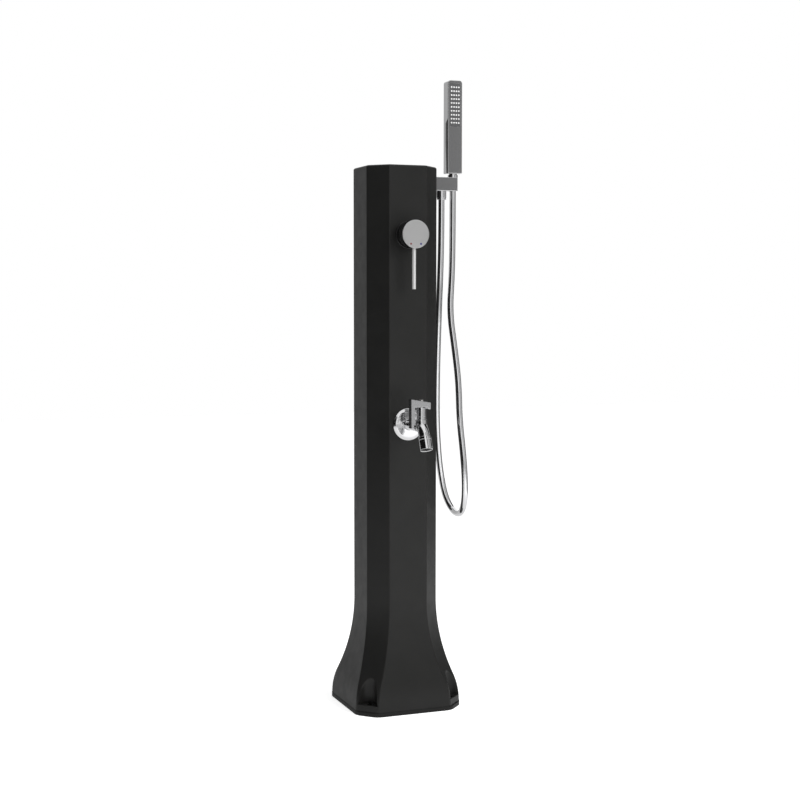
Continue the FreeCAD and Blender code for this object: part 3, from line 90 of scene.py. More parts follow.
class Wiring:
    """A node tree, with short ways to add nodes and join them."""

    def __init__(self, tree: bpy.types.NodeTree) -> None:
        """Take up a tree.

        Args:
            tree: The tree.
        """
        self.tree = tree

    def feed(self, target: bpy.types.NodeSocket, value: object) -> None:
        """Give an input a value, or link it to the socket that brings one."""
        if isinstance(value, bpy.types.NodeSocket):
            self.tree.links.new(value, target)
        else:
            target.default_value = value

    def add(self, kind: str, inputs: dict[str, object] | None = None, **settings: object) -> bpy.types.Node:
        """Add a node.

        Args:
            kind: The node's type.
            inputs: Values or sockets for its inputs, by the inputs' names.
            **settings: Properties to set on it.

        Returns:
            The node.
        """
        node = self.tree.nodes.new(kind)
        for name, setting in settings.items():
            setattr(node, name, setting)
        for name, value in (inputs or {}).items():
            self.feed(node.inputs[name], value)
        return node

    def calculate(self, operation: str, *values: object) -> bpy.types.NodeSocket:
        """Calculate with sockets and numbers.

        Args:
            operation: The operation.
            *values: The sockets and numbers that go in, in order.

        Returns:
            The result's socket.
        """
        node = self.add("ShaderNodeMath", operation=operation)
        for target, value in zip(node.inputs, values):
            self.feed(target, value)
        return node.outputs[0]


class Board(Wiring):
    """A material's node tree, with the textures that the finishes use."""

    def __init__(self, name: str) -> None:
        """Start a material.

        Args:
            name: The material's name.
        """
        self.material = bpy.data.materials.new(name)
        self.material.use_nodes = True
        super().__init__(self.material.node_tree)
        self.shader = self.tree.nodes["Principled BSDF"]
        self.place = self.add("ShaderNodeTexCoord").outputs["Object"]

    def noise(self, scale: float, detail: float = 3.0, stretch: Point = (1, 1, 1)) -> bpy.types.NodeSocket:
        """Noise on the object's own coordinates.

        Args:
            scale: Cells per metre.
            detail: Octaves.
            stretch: How much finer the noise is along X, Y and Z.

        Returns:
            The noise value's socket.
        """
        mapping = self.add("ShaderNodeMapping", {"Scale": stretch, "Vector": self.place})
        return self.add("ShaderNodeTexNoise", {"Scale": scale, "Detail": detail,
                                               "Vector": mapping.outputs["Vector"]}).outputs["Fac"]

    def spread(self, source: bpy.types.NodeSocket, low: float, high: float) -> bpy.types.NodeSocket:
        """Stretch the middle of a noise over a range.

        Args:
            source: Value from 0 to 1.
            low: Result where the source is 0.3.
            high: Result where it is 0.7.

        Returns:
            The result's socket.
        """
        return self.add("ShaderNodeMapRange", {"From Min": 0.3, "From Max": 0.7, "To Min": low,
                                               "To Max": high, "Value": source}).outputs["Result"]

    def tint(self, source: bpy.types.NodeSocket, first: Point, second: Point) -> bpy.types.NodeSocket:
        """Mix two colours by a value and return the colour's socket."""
        node = self.add("ShaderNodeMix", data_type="RGBA")
        for target, value in ((6, (*first, 1)), (7, (*second, 1)), (0, source)):
            self.feed(node.inputs[target], value)
        return node.outputs[2]

    def bump(self, height: bpy.types.NodeSocket, depth: float, strength: float = 1.0,
             under: bpy.types.NodeSocket | None = None) -> bpy.types.NodeSocket:
        """Turn a height into a normal.

        Args:
            height: The height's socket.
            depth: Real depth in metres.
            strength: How much of it shows.
            under: A normal below it, if any.

        Returns:
            The normal's socket.
        """
        node = self.add("ShaderNodeBump", {"Distance": depth, "Strength": strength, "Height": height})
        if under is not None:
            self.feed(node.inputs["Normal"], under)
        return node.outputs["Normal"]


@dataclass(frozen=True)
class Finish:
    """A surface: colour, gloss and the fine texture that a real one has."""

    name: str
    color: Point
    roughness: float
    metallic: float = 0.0
    specular: float = 0.5
    mottle: float = 0.08
    mottle_scale: float = 14.0
    rough_play: float = 0.04
    grain_scale: float = 1400.0
    grain_depth: float = 0.00001
    stretch: Point = (1, 1, 1)

    def material(self) -> bpy.types.Material:
        """Build the material, or return the one already built."""
        known = bpy.data.materials.get(self.name)
        if known:
            return known
        board = Board(self.name)
        inputs = board.shader.inputs
        inputs["Metallic"].default_value = self.metallic
        inputs["Specular IOR Level"].default_value = self.specular
        cloud = board.noise(self.mottle_scale, 4.0)
        dark = tuple(c * (1 - self.mottle) for c in self.color)
        light = tuple(min(1.0, c * (1 + self.mottle)) for c in self.color)
        board.feed(inputs["Base Color"], board.tint(board.spread(cloud, 0, 1), dark, light))
        smear = board.noise(self.mottle_scale * 3.1, 5.0, self.stretch)
        board.feed(inputs["Roughness"], board.spread(smear, max(0.0, self.roughness - self.rough_play),
                                                     self.roughness + self.rough_play))
        grain = board.noise(self.grain_scale, 2.0, self.stretch)
        self.dress(board, board.bump(grain, self.grain_depth))
        return board.material

    def dress(self, board: Board, normal: bpy.types.NodeSocket) -> None:
        """Give the shader its normal; a finish with more texture adds to it here."""
        board.feed(board.shader.inputs["Normal"], normal)


@dataclass(frozen=True)
class MouldedFinish(Finish):
    """Moulded plastic with an orange-peel skin under its fine grain."""

    peel_scale: float = 130.0
    peel_depth: float = 0.00006

    def dress(self, board: Board, normal: bpy.types.NodeSocket) -> None:
        """Lay the fine grain over the slow waves of the moulded skin."""
        peel = board.bump(board.noise(self.peel_scale, 2.0), self.peel_depth, 1.0, normal)
        super().dress(board, peel)


@dataclass(frozen=True)
class TurnedFinish(Finish):
    """Metal turned on a lathe: fine rings round an axis that points to the front."""

    centre: Point = (0, 0, 0)
    ring_pitch: float = 0.0005
    ring_depth: float = 0.0000006

    def dress(self, board: Board, normal: bpy.types.NodeSocket) -> None:
        """Add rings round the axis."""
        moved = board.add("ShaderNodeMapping", {"Location": tuple(-c for c in self.centre),
                                                "Vector": board.place}, vector_type="POINT")
        wave = board.add("ShaderNodeTexWave", {"Scale": 1 / (2 * math.pi * self.ring_pitch) / 3,
                                               "Distortion": 1.5, "Detail": 3,
                                               "Vector": moved.outputs["Vector"]},
                         wave_type="RINGS", rings_direction="Y")
        super().dress(board, board.bump(wave.outputs["Fac"], self.ring_depth, 1.0, normal))


@dataclass(frozen=True)
class WoundFinish(Finish):
    """A hose's skin over its wound inner strip, along attributes that the tube carries."""

    pitch: float = 0.0032
    wound_depth: float = 0.000005

    def dress(self, board: Board, normal: bpy.types.NodeSocket) -> None:
        """Add the faint spiral of the strip."""
        along, around = (board.add("ShaderNodeAttribute", attribute_name=name).outputs["Fac"]
                         for name in ("along", "around"))
        turns = board.calculate("MULTIPLY_ADD", along, 1 / self.pitch, around)
        wave = board.calculate("SINE", board.calculate("MULTIPLY", turns, 2 * math.pi))
        super().dress(board, board.bump(wave, self.wound_depth, 1.0, normal))


MIXER_CENTRE = tuple((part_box("mixer_cap")[0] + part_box("mixer_cap")[1]) / 2)

COLUMN = MouldedFinish("column_plastic", (0.0118, 0.0118, 0.0113), 0.4, specular=0.29, mottle=0.08,
                       grain_depth=0.00002, grain_scale=1800)
FOOT = MouldedFinish("foot_plastic", (0.0094, 0.0094, 0.009), 0.46, specular=0.26, grain_depth=0.00002)
CHROME = Finish("chrome", (0.66, 0.66, 0.67), 0.07, 1.0, mottle=0.02, rough_play=0.02,
                grain_scale=500, grain_depth=0.000002)
SATIN = TurnedFinish("satin_chrome", (0.86, 0.86, 0.855), 0.38, 0.25, mottle=0.02, rough_play=0.03,
                     centre=MIXER_CENTRE)
ROD = Finish("satin_rod", (0.66, 0.66, 0.655), 0.3, 0.4, mottle=0.02, rough_play=0.03)
HOSE = WoundFinish("hose_skin", (0.78, 0.78, 0.79), 0.06, 1.0, mottle=0.03, rough_play=0.015)
# real black plastic; also the colour of the hand shower's black wedge, which is painted reflection
BLACK = Finish("black_plastic", (0.006, 0.006, 0.006), 0.5, specular=0.04, mottle=0.1)
SPRAY_GREY = Finish("spray_plastic", (0.07, 0.07, 0.072), 0.34, mottle=0.06)
SILICONE = Finish("silicone", (0.78, 0.78, 0.77), 0.5, mottle=0.03)
RUBBER = Finish("rubber", (0.014, 0.014, 0.014), 0.7, specular=0.3, grain_depth=0.00004)
BRASS = Finish("brass", (0.62, 0.43, 0.17), 0.3, 1.0, mottle=0.12, rough_play=0.1, stretch=(1, 1, 6))
STEEL = Finish("stainless", (0.56, 0.55, 0.54), 0.3, 1.0, mottle=0.05, rough_play=0.08)
CERAMIC = Finish("ceramic", (0.78, 0.76, 0.70), 0.2, mottle=0.03)
RED = Finish("red_dot", (0.16, 0.01, 0.012), 0.3)
BLUE = Finish("blue_dot", (0.014, 0.016, 0.16), 0.3)

PLATED = Finish("plated_brass", (0.78, 0.78, 0.78), 0.12, 1.0, mottle=0.03, rough_play=0.03)

SHOWN_NODES: dict[str, Finish] = {
    "handset_connector": PLATED, "hose_connector": PLATED, "tap_spindle": PLATED}

SLOT_FINISHES: dict[str, Finish] = {
    "column": COLUMN, "gasket": RUBBER, "screws": STEEL, "brass": BRASS, "pipes": STEEL,
    "chrome": CHROME, "satin_chrome": SATIN, "hose": HOSE, "black_plastic": BLACK,
    "grey_plastic": SPRAY_GREY, "silicone": SILICONE, "seals": RUBBER, "ceramic": CERAMIC,
    "red_mark": RED, "blue_mark": BLUE,
}


# ------------------------------------------------------------------ shapes


@dataclass(frozen=True)
class Corner:
    """A corner of a drawn line, and how it is rounded."""

    x: float
    y: float
    radius: float = 0.0


def rounded(corners: Sequence[Corner], closed: bool, steps: int = 5) -> list[Flat]:
    """Draw a line through corners, with an arc at each rounded one.

    Args:
        corners: The corners in order.
        closed: Whether the last joins the first.
        steps: Segments of each arc.

    Returns:
        The line's points.
    """
    points: list[Flat] = []
    count = len(corners)
    for i, corner in enumerate(corners):
        here = Vector((corner.x, corner.y))
        ends = not closed and i in (0, count - 1)
        if corner.radius <= 0 or ends:
            points.append((corner.x, corner.y))
            continue
        before = corners[i - 1]
        after = corners[(i + 1) % count]
        back = (Vector((before.x, before.y)) - here).normalized()
        ahead = (Vector((after.x, after.y)) - here).normalized()
        half = back.angle(ahead) / 2
        reach = corner.radius / math.tan(half)
        centre = here + (back + ahead).normalized() * (corner.radius / math.sin(half))
        start = here + back * reach - centre
        end = here + ahead * reach - centre
        sweep = start.angle_signed(end)
        for step in range(steps + 1):
            turn = Matrix.Rotation(-sweep * step / steps, 2)
            points.append(tuple(centre + turn @ start))
    return points


def frame_of(origin: Sequence[float], axis: Vector, side: Vector | None = None) -> Matrix:
    """A frame whose Z points along an axis.

    Args:
        origin: Where the frame stands.
        axis: Direction of its Z.
        side: Direction near its X, or None for any.

    Returns:
        The frame as a matrix.
    """
    z = axis.normalized()
    near = side or (RIGHT if abs(z.x) < 0.9 else UP)
    y = z.cross(near).normalized()
    x = y.cross(z)
    turn = Matrix((x, y, z)).transposed().to_4x4()
    return Matrix.Translation(Vector(origin)) @ turn


def lathe_shape(line: Sequence[Flat], segments: int = 64) -> bmesh.types.BMesh:
    """Turn a line of (radius, height) once round Z.

    Args:
        line: The half section. Where it starts and ends off the axis, it is closed into a ring.
        segments: Sides round the axis.

    Returns:
        The closed shape.
    """
    bm = bmesh.new()
    rings = []
    for radius, height in line:
        if radius < 1e-7:
            rings.append([bm.verts.new((0, 0, height))])
            continue
        rings.append([bm.verts.new((radius * math.cos(2 * math.pi * i / segments),
                                    radius * math.sin(2 * math.pi * i / segments), height))
                      for i in range(segments)])
    pairs = list(zip(rings, rings[1:]))
    if len(rings[0]) > 1 or len(rings[-1]) > 1:
        pairs.append((rings[-1], rings[0]))
    for low, high in pairs:
        for i in range(max(len(low), len(high))):
            ring = [low[i % len(low)], low[(i + 1) % len(low)],
                    high[(i + 1) % len(high)], high[i % len(high)]]
            corners = list(dict.fromkeys(ring))
            if len(corners) > 2:
                bm.faces.new(corners)
    bmesh.ops.recalc_face_normals(bm, faces=bm.faces)
    return bm


def prism_shape(outline: Sequence[Flat], low: float, high: float) -> bmesh.types.BMesh:
    """Raise a closed outline from one height to another and return the closed shape."""
    bm = bmesh.new()
    bottom = [bm.verts.new((x, y, low)) for x, y in outline]
    top = [bm.verts.new((x, y, high)) for x, y in outline]
    bm.faces.new(bottom[::-1])
    bm.faces.new(top)
    for i in range(len(outline)):
        j = (i + 1) % len(outline)
        bm.faces.new((bottom[i], bottom[j], top[j], top[i]))
    bmesh.ops.recalc_face_normals(bm, faces=bm.faces)
    return bm


def thread_shape(radius: float, depth: float, pitch: float, low: float, high: float,
                 core: float, segments: int = 48) -> bmesh.types.BMesh:
    """A tube end with an outer thread that climbs as a real one does.

    Args:
        radius: Over the crests.
        depth: Of the thread.
        pitch: Climb in one turn.
        low: Start of the thread.
        high: End of the thread.
        core: Radius of the bore.
        segments: Sides round the axis.

    Returns:
        The closed shape, with a run-out at both ends.
    """
    bm = bmesh.new()
    rows = max(8, int((high - low) / pitch * 8))
    rings = []
    for row in range(rows + 1):
        height = low + (high - low) * row / rows
        fade = min(1.0, min(row, rows - row) / 6)
        ring = []
        for i in range(segments):
            phase = (height / pitch + i / segments) % 1.0
            ridge = abs(2 * phase - 1) ** 0.7
            r = radius - depth * (1 - ridge * fade)
            angle = 2 * math.pi * i / segments
            ring.append(bm.verts.new((r * math.cos(angle), r * math.sin(angle), height)))
        rings.append(ring)
    for height in (high, low):
        rings.append([bm.verts.new((core * math.cos(2 * math.pi * i / segments),
                                    core * math.sin(2 * math.pi * i / segments), height))
                      for i in range(segments)])
    for a, b in zip(rings, rings[1:] + rings[:1]):
        for i in range(segments):
            j = (i + 1) % segments
            bm.faces.new((a[i], a[j], b[j], b[i]))
    bmesh.ops.recalc_face_normals(bm, faces=bm.faces)
    return bm


def bent_bar(path: Sequence[Vector], radius: float, sides: int = 72) -> bmesh.types.BMesh:
    """Make a round bar along a path in a plane square to X.

    Args:
        path: Points along its middle.
        radius: Its radius.
        sides: Sides round it.

    Returns:
        The closed shape.
    """
    bm = bmesh.new()
    rings = []
    for i, spot in enumerate(path):
        ahead = (path[min(i + 1, len(path) - 1)] - path[max(i - 1, 0)]).normalized()
        over = ahead.cross(RIGHT)
        turns = [2 * math.pi * k / sides for k in range(sides)]
        rings.append([bm.verts.new(spot + radius * (math.cos(turn) * RIGHT + math.sin(turn) * over))
                      for turn in turns])
    for low, high in zip(rings, rings[1:]):
        for k in range(sides):
            bm.faces.new((low[k], low[(k + 1) % sides], high[(k + 1) % sides], high[k]))
    bm.faces.new(rings[0])
    bm.faces.new(rings[-1])
    bmesh.ops.recalc_face_normals(bm, faces=bm.faces)
    return bm


def plain_object(name: str, shape: bmesh.types.BMesh, stand: Matrix | None = None) -> bpy.types.Object:
    """An object with its place in its mesh.

    Args:
        name: The object's name.
        shape: Its shape, which is used up.
        stand: Frame that the shape stands in.

    Returns:
        The object, linked to the scene.
    """
    if stand is not None:
        shape.transform(stand)
    mesh = bpy.data.meshes.new(name)
    shape.to_mesh(mesh)
    shape.free()
    item = bpy.data.objects.new(name, mesh)
    bpy.context.scene.collection.objects.link(item)
    return item


def settle(item: bpy.types.Object) -> bpy.types.Object:
    """Apply an object's modifiers to its mesh.

    Args:
        item: The object.

    Returns:
        The same object, with no modifier left.
    """
    bpy.context.view_layer.update()
    evaluated = item.evaluated_get(bpy.context.evaluated_depsgraph_get())
    mesh = bpy.data.meshes.new_from_object(evaluated)
    old = item.data
    item.modifiers.clear()
    item.data = mesh
    bpy.data.meshes.remove(old)
    return item


def discard(item: bpy.types.Object) -> None:
    """Remove an object and its mesh."""
    mesh = item.data
    bpy.data.objects.remove(item)
    bpy.data.meshes.remove(mesh)


def drill(name: str, radius: float, low: float, high: float, stand: Matrix,
          segments: int = 32) -> bpy.types.Object:
    """Make a plain rod that is used to cut.

    Args:
        name: The object's name.
        radius: Its radius.
        low: Where it starts along the Z of its frame.
        high: Where it ends.
        stand: Frame that it stands in.
        segments: Its sides; six give a hexagon.

    Returns:
        The rod.
    """
    line = [(0, low), (radius, low), (radius, high), (0, high)]
    return plain_object(name, lathe_shape(line, segments), stand)


def facing_prism(name: str, outline: Sequence[Flat], low: float, high: float) -> bpy.types.Object:
    """Make a prism from an outline that is drawn in X and Z.

    Args:
        name: The object's name.
        outline: The outline.
        low: Where it starts along Y.
        high: Where it ends.

    Returns:
        The object.
    """
    shape = prism_shape(outline, low, high)
    shape.transform(Matrix(((1, 0, 0, 0), (0, 0, 1, 0), (0, 1, 0, 0), (0, 0, 0, 1))))
    shape.normal_update()
    bmesh.ops.recalc_face_normals(shape, faces=shape.faces)
    return plain_object(name, shape)


def upright(node: str) -> tuple[Vector, float, float]:
    """Foot, radius and length of an upright round node."""
    low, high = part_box(node)
    return Vector(((low.x + high.x) / 2, (low.y + high.y) / 2, low.z)), (high.x - low.x) / 2, high.z - low.z


def combined(item: bpy.types.Object, others: Sequence[bpy.types.Object], operation: str) -> bpy.types.Object:
    """Cut, join or keep what is common with other objects, which are used up.

    Args:
        item: The object that is changed.
        others: The other objects.
        operation: DIFFERENCE, UNION or INTERSECT.

    Returns:
        The changed object.
    """
    for other in others:
        step = item.modifiers.new("combine", "BOOLEAN")
        step.operation = operation
        step.solver = "EXACT"
        step.object = other
    settle(item)
    for other in others:
        discard(other)
    return item


def soften(item: bpy.types.Object, width: float, segments: int = 3, angle: float = 35.0) -> bpy.types.Object:
    """Round an object's edges.

    Args:
        item: The object.
        width: Width of the rounding in metres.
        segments: Its segments.
        angle: Edges that turn more than this are rounded, in degrees.

    Returns:
        The object.
    """
    bevel = item.modifiers.new("edges", "BEVEL")
    bevel.width = width
    bevel.segments = segments
    bevel.limit_method = "ANGLE"
    bevel.angle_limit = math.radians(angle)
    bevel.miter_outer = "MITER_ARC"
    return settle(item)


def finished(item: bpy.types.Object, finish: Finish, body: Body, nodes: Sequence[str] = (),
             sharp: float = 32.0) -> bpy.types.Object:
    """Dress a piece, shade it and let it ride.

    Args:
        item: The piece, with no modifier left.
        finish: Its finish.
        body: The body that it rides on.
        nodes: The CAD nodes that it stands for.
        sharp: Edges that turn more than this stay sharp, in degrees.

    Returns:
        The piece.
    """
    mesh = item.data
    mesh.materials.clear()
    mesh.materials.append(finish.material())
    for face in mesh.polygons:
        face.use_smooth = True
        face.material_index = 0
    mesh.set_sharp_from_angle(angle=math.radians(sharp))
    weighted = item.modifiers.new("shading", "WEIGHTED_NORMAL")
    weighted.keep_sharp = True
    weighted.weight = 60
    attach(item, body.value)
    if nodes:
        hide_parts(*nodes)
    log.info("piece %s: %d faces", item.name, len(mesh.polygons))
    return item


# ------------------------------------------------------------------ repeated pieces


class GeometryTree:
    """A geometry tree whose result becomes an object's mesh."""

    def __init__(self, name: str, inputs: dict[str, str], kinds: dict[str, str],
                 links: Iterable[tuple[str, str, str, str]], modes: dict[str, str] | None = None) -> None:
        """Build the tree.

        Args:
            name: The tree's name.
            inputs: The inputs by name, each with the kind of its socket.
            kinds: The nodes by name, each with its kind; "given" and "result" are there without it.
            links: Node and output that each link starts from, and node and input that it goes to.
            modes: The mode of the nodes that have one, by the nodes' names.
        """
        self.tree = bpy.data.node_groups.new(name, "GeometryNodeTree")
        face = self.tree.interface
        for label, kind in inputs.items():
            face.new_socket(label, in_out="INPUT", socket_type="NodeSocket" + kind)
        face.new_socket("Result", in_out="OUTPUT", socket_type="NodeSocketGeometry")
        self.nodes = {"given": self.tree.nodes.new("NodeGroupInput"),
                      "result": self.tree.nodes.new("NodeGroupOutput")}
        for label, kind in kinds.items():
            self.nodes[label] = self.tree.nodes.new("GeometryNode" + kind)
        for label, mode in (modes or {}).items():
            self.nodes[label].mode = mode
        for source, output, target, slot in links:
            self.tree.links.new(self.nodes[source].outputs[output], self.nodes[target].inputs[slot])

    def run(self, item: bpy.types.Object, **values: object) -> None:
        """Run the tree on an object and keep the result as its mesh.

        Args:
            item: The object, whose mesh goes in first.
            **values: The other inputs' values, by the inputs' names.
        """
        step = item.modifiers.new(self.tree.name, "NODES")
        step.node_group = self.tree
        sockets = {s.name: s.identifier for s in self.tree.interface.items_tree if s.in_out == "INPUT"}
        for label, value in values.items():
            step[sockets[label]] = value
        settle(item)


class NodeField(GeometryTree):
    """A geometry tree that puts copies of a small shape on points."""

    def __init__(self, name: str) -> None:
        """Build the tree.

        Args:
            name: The tree's name.
        """
        super().__init__(
            name, {"Points": "Geometry", "Copy": "Object", "Size": "Float", "Finish": "Material"},
            {"copy": "ObjectInfo", "points": "MeshToPoints", "place": "InstanceOnPoints",
             "real": "RealizeInstances", "paint": "SetMaterial"},
            (("given", "Points", "points", "Mesh"), ("given", "Copy", "copy", "Object"),
             ("points", "Points", "place", "Points"), ("copy", "Geometry", "place", "Instance"),
             ("given", "Size", "place", "Scale"), ("place", "Instances", "real", "Geometry"),
             ("real", "Geometry", "paint", "Geometry"), ("given", "Finish", "paint", "Material"),
             ("paint", "Geometry", "result", "Result")))

    def spread(self, name: str, spots: Sequence[Point], shape: bmesh.types.BMesh, turn: Matrix,
               finish: Finish) -> bpy.types.Object:
        """Put copies of a shape on spots and return them as one plain mesh object.

        Args:
            name: The object's name.
            spots: Where the copies stand.
            shape: The shape, standing on its own origin.
            turn: How each copy is turned.
            finish: The copies' finish.

        Returns:
            The object.
        """
        seed = bmesh.new()
        for spot in spots:
            seed.verts.new(spot)
        item = plain_object(name, seed)
        copy = plain_object(name + "_copy", shape, turn)
        self.run(item, Copy=copy, Size=1.0, Finish=finish.material())
        discard(copy)
        return item


class TubeTree(GeometryTree):
    """A geometry tree that lays a round tube along a line of points."""

    def __init__(self, name: str) -> None:
        """Build the tree.

        Args:
            name: The tree's name.
        """
        super().__init__(
            name, {"Line": "Geometry", "Radius": "Float", "Step": "Float", "Sides": "Int",
                   "Finish": "Material"},
            {"curve": "MeshToCurve", "even": "ResampleCurve", "along": "SplineParameter",
             "keep_along": "StoreNamedAttribute", "ring": "CurvePrimitiveCircle", "around": "SplineParameter",
             "keep_around": "StoreNamedAttribute", "tube": "CurveToMesh", "real": "RealizeInstances",
             "paint": "SetMaterial"},
            (("given", "Line", "curve", "Mesh"), ("curve", "Curve", "even", "Curve"),
             ("given", "Step", "even", "Length"), ("even", "Curve", "keep_along", "Geometry"),
             ("along", "Length", "keep_along", "Value"), ("given", "Sides", "ring", "Resolution"),
             ("given", "Radius", "ring", "Radius"), ("ring", "Curve", "keep_around", "Geometry"),
             ("around", "Factor", "keep_around", "Value"), ("keep_along", "Geometry", "tube", "Curve"),
             ("keep_around", "Geometry", "tube", "Profile Curve"), ("tube", "Mesh", "real", "Geometry"),
             ("real", "Geometry", "paint", "Geometry"), ("given", "Finish", "paint", "Material"),
             ("paint", "Geometry", "result", "Result")), {"even": "LENGTH"})
        for label in ("along", "around"):
            self.nodes["keep_" + label].inputs["Name"].default_value = label
        self.nodes["tube"].inputs["Fill Caps"].default_value = True

    def lay(self, item: bpy.types.Object, radius: float, step: float, sides: int, finish: Finish) -> None:
        """Turn an object's line into a tube.

        Args:
            item: Object whose mesh is a line of points.
            radius: The tube's radius.
            step: Spacing of its rings.
            sides: Sides round it.
            finish: Its finish.
        """
        self.run(item, Radius=radius, Step=step, Sides=sides, Finish=finish.material())


# ------------------------------------------------------------------ column


@dataclass
class Column:
    """The moulded column on its foot: eight sides that flare out, with a pocket at each foot corner."""

    top_half: float = 0.081
    foot_half: float = 0.121
    cut: float = 0.038
    flare_low: float = 0.010
    flare_high: float = 0.236
    flare_share: float = 0.26
    edge_round: float = 0.0045
    edge_round_gain: float = 0.009
    top_round: float = 0.005
    pocket_radius: float = 0.022
    pocket_inset: float = 0.00325
    pocket_floor: float = 0.023
    pocket_lip: float = 0.0016
    pocket_taper: float = 0.0102 / 0.110
    bolt_inset: float = 0.008
    bolt_radius: float = 0.0055
    flat_steps: int = 8
    edge_steps: int = 5
    cut_steps: int = 56
    plate_margin: float = 0.001
    plate_round: float = 0.028
    screw_head: float = 0.0042
    screw_shank: float = 0.0022
    screw_shift: float = 0.0106

    def flare(self, top: float, foot: float, height: float) -> float:
        """Distance of a side from the axis at a height.

        Args:
            top: Its distance above the flare.
            foot: Its distance at the foot.
            height: The height.

        Returns:
            The distance, on two arcs that touch each other and the upright ends.
        """
        rise, spread = self.flare_high - self.flare_low, foot - top
        both = (rise * rise + spread * spread) / (2 * spread)
        small = self.flare_share * both
        large = both - small
        turn = 2 * math.atan2(spread, rise)
        z = min(max(height, self.flare_low), self.flare_high)
        if z <= self.flare_low + small * math.sin(turn):
            return foot - small + math.sqrt(small ** 2 - (z - self.flare_low) ** 2)
        return top + large - math.sqrt(large ** 2 - (self.flare_high - z) ** 2)

    def reaches(self, height: float, top: float) -> tuple[float, float]:
        """Distances of the flat and the cut sides from the axis at a height, with the rounded top."""
        flat = self.flare(self.top_half, self.foot_half, height)
        diagonal = self.flare((2 * self.top_half - self.cut) / math.sqrt(2),
                              (2 * self.foot_half - self.cut) / math.sqrt(2), height)
        over = max(0.0, height - (top - self.top_round))
        drawn_in = self.top_round - math.sqrt(max(0.0, self.top_round ** 2 - over ** 2))
        return flat - drawn_in, diagonal - drawn_in

    def quarter(self, flat: float, diagonal: float, edge: float) -> list[Flat]:
        """A quarter of the section, from the middle of the +X side to that of the +Y side.

        Args:
            flat: Distance of the flat sides.
            diagonal: Distance of the cut side.
            edge: Rounding of the upright edges.

        Returns:
            The points, without the last.
        """
        side = diagonal * math.sqrt(2) - flat
        reach = edge * math.tan(math.pi / 8)
        points = [(flat, (side - reach) * i / self.flat_steps) for i in range(self.flat_steps)]
        centre = Vector((flat - edge, side - reach))
        arc = [tuple(centre + edge * Vector((math.cos(a), math.sin(a))))
               for a in (math.pi / 4 * i / self.edge_steps for i in range(self.edge_steps + 1))]
        points += arc
        mirrored = [(y, x) for x, y in reversed(arc)]
        start, end = Vector(arc[-1]), Vector(mirrored[0])
        points += [tuple(start.lerp(end, i / self.cut_steps)) for i in range(1, self.cut_steps)]
        points += mirrored
        top = (side - reach, flat)
        points += [(top[0] * (1 - i / self.flat_steps), flat) for i in range(1, self.flat_steps)]
        return points

    def edge_at(self, height: float) -> float:
        """Rounding of the upright edges at a height: they soften towards the foot."""
        down = max(0.0, 1 - height / self.flare_high)
        return self.edge_round + self.edge_round_gain * down ** 3

    def pocketed(self, point: Flat, height: float) -> Flat:
        """Draw a point of the section in to the wall of the corner pocket, which tapers upwards."""
        radius = max(0.004, self.pocket_radius - self.pocket_taper * (height - self.pocket_floor))
        x, y = point
        distance = math.hypot(x, y)
        off = math.atan2(y, x) - math.pi / 4
        centre = (2 * self.foot_half - self.cut) / math.sqrt(2) - self.pocket_inset
        side = centre * math.sin(off)
        if abs(side) >= radius:
            return point
        wall = centre * math.cos(off) - math.sqrt(radius ** 2 - side ** 2)
        blend = max(self.pocket_lip - abs(distance - wall), 0.0) / self.pocket_lip
        near = min(distance, wall) - blend * blend * self.pocket_lip / 4
        return x * near / distance, y * near / distance

    def heights(self, low: float, top: float) -> list[tuple[float, bool]]:
        """Heights of the rings, each with whether the pockets cut it."""
        floor = self.pocket_floor
        rows = [(low + (floor - low) * i / 5, False) for i in range(6)]
        rows += [(floor + 0.072 * (i / 60), True) for i in range(61)]
        rows += [(0.095 + (self.flare_high - 0.095) * i / 44, True) for i in range(1, 45)]
        straight = top - self.top_round
        rows += [(self.flare_high + (straight - self.flare_high) * i / 12, True) for i in range(1, 13)]
        rows += [(straight + self.top_round * math.sin(math.pi / 2 * i / 7), True) for i in range(1, 8)]
        return rows

    def shell(self) -> bpy.types.Object:
        """The column as one closed skin."""
        low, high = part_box("column_shell")[0].z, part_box("column_shell")[1].z
        bm = bmesh.new()
        rings = []
        for height, pockets in self.heights(low, high):
            quarter = self.quarter(*self.reaches(height, high), self.edge_at(height))
            if pockets:
                quarter = [self.pocketed(p, height) for p in quarter]
            ring = []
            for turn in range(4):
                c, s = (1, 0, -1, 0)[turn], (0, 1, 0, -1)[turn]
                ring += [bm.verts.new((c * x - s * y, s * x + c * y, height)) for x, y in quarter]
            rings.append(ring)
        for scale in (0.985, 0.6, 0.25):
            rings.append([bm.verts.new((v.co.x * scale, v.co.y * scale, high)) for v in rings[-1]])
        count = len(rings[0])
        for a, b in zip(rings, rings[1:]):
            for i in range(count):
                j = (i + 1) % count
                bm.faces.new((a[i], a[j], b[j], b[i]))
        middle = bm.verts.new((0, 0, high))
        for i in range(count):
            bm.faces.new((rings[-1][i], rings[-1][(i + 1) % count], middle))
        bm.faces.new(rings[0][::-1])
        bmesh.ops.remove_doubles(bm, verts=bm.verts, dist=1e-6)
        bmesh.ops.dissolve_degenerate(bm, edges=bm.edges, dist=1e-6)
        bmesh.ops.recalc_face_normals(bm, faces=bm.faces)
        item = plain_object("column", bm)
        ways = [drill("bolt_way_%d" % n, self.bolt_radius, -0.005, self.pocket_floor + 0.01,
                      Matrix.Translation(spot)) for n, spot in enumerate(self.bolt_spots())]
        combined(item, ways, "DIFFERENCE")
        return finished(item, COLUMN, Body.POST, ["column_shell"], sharp=40)

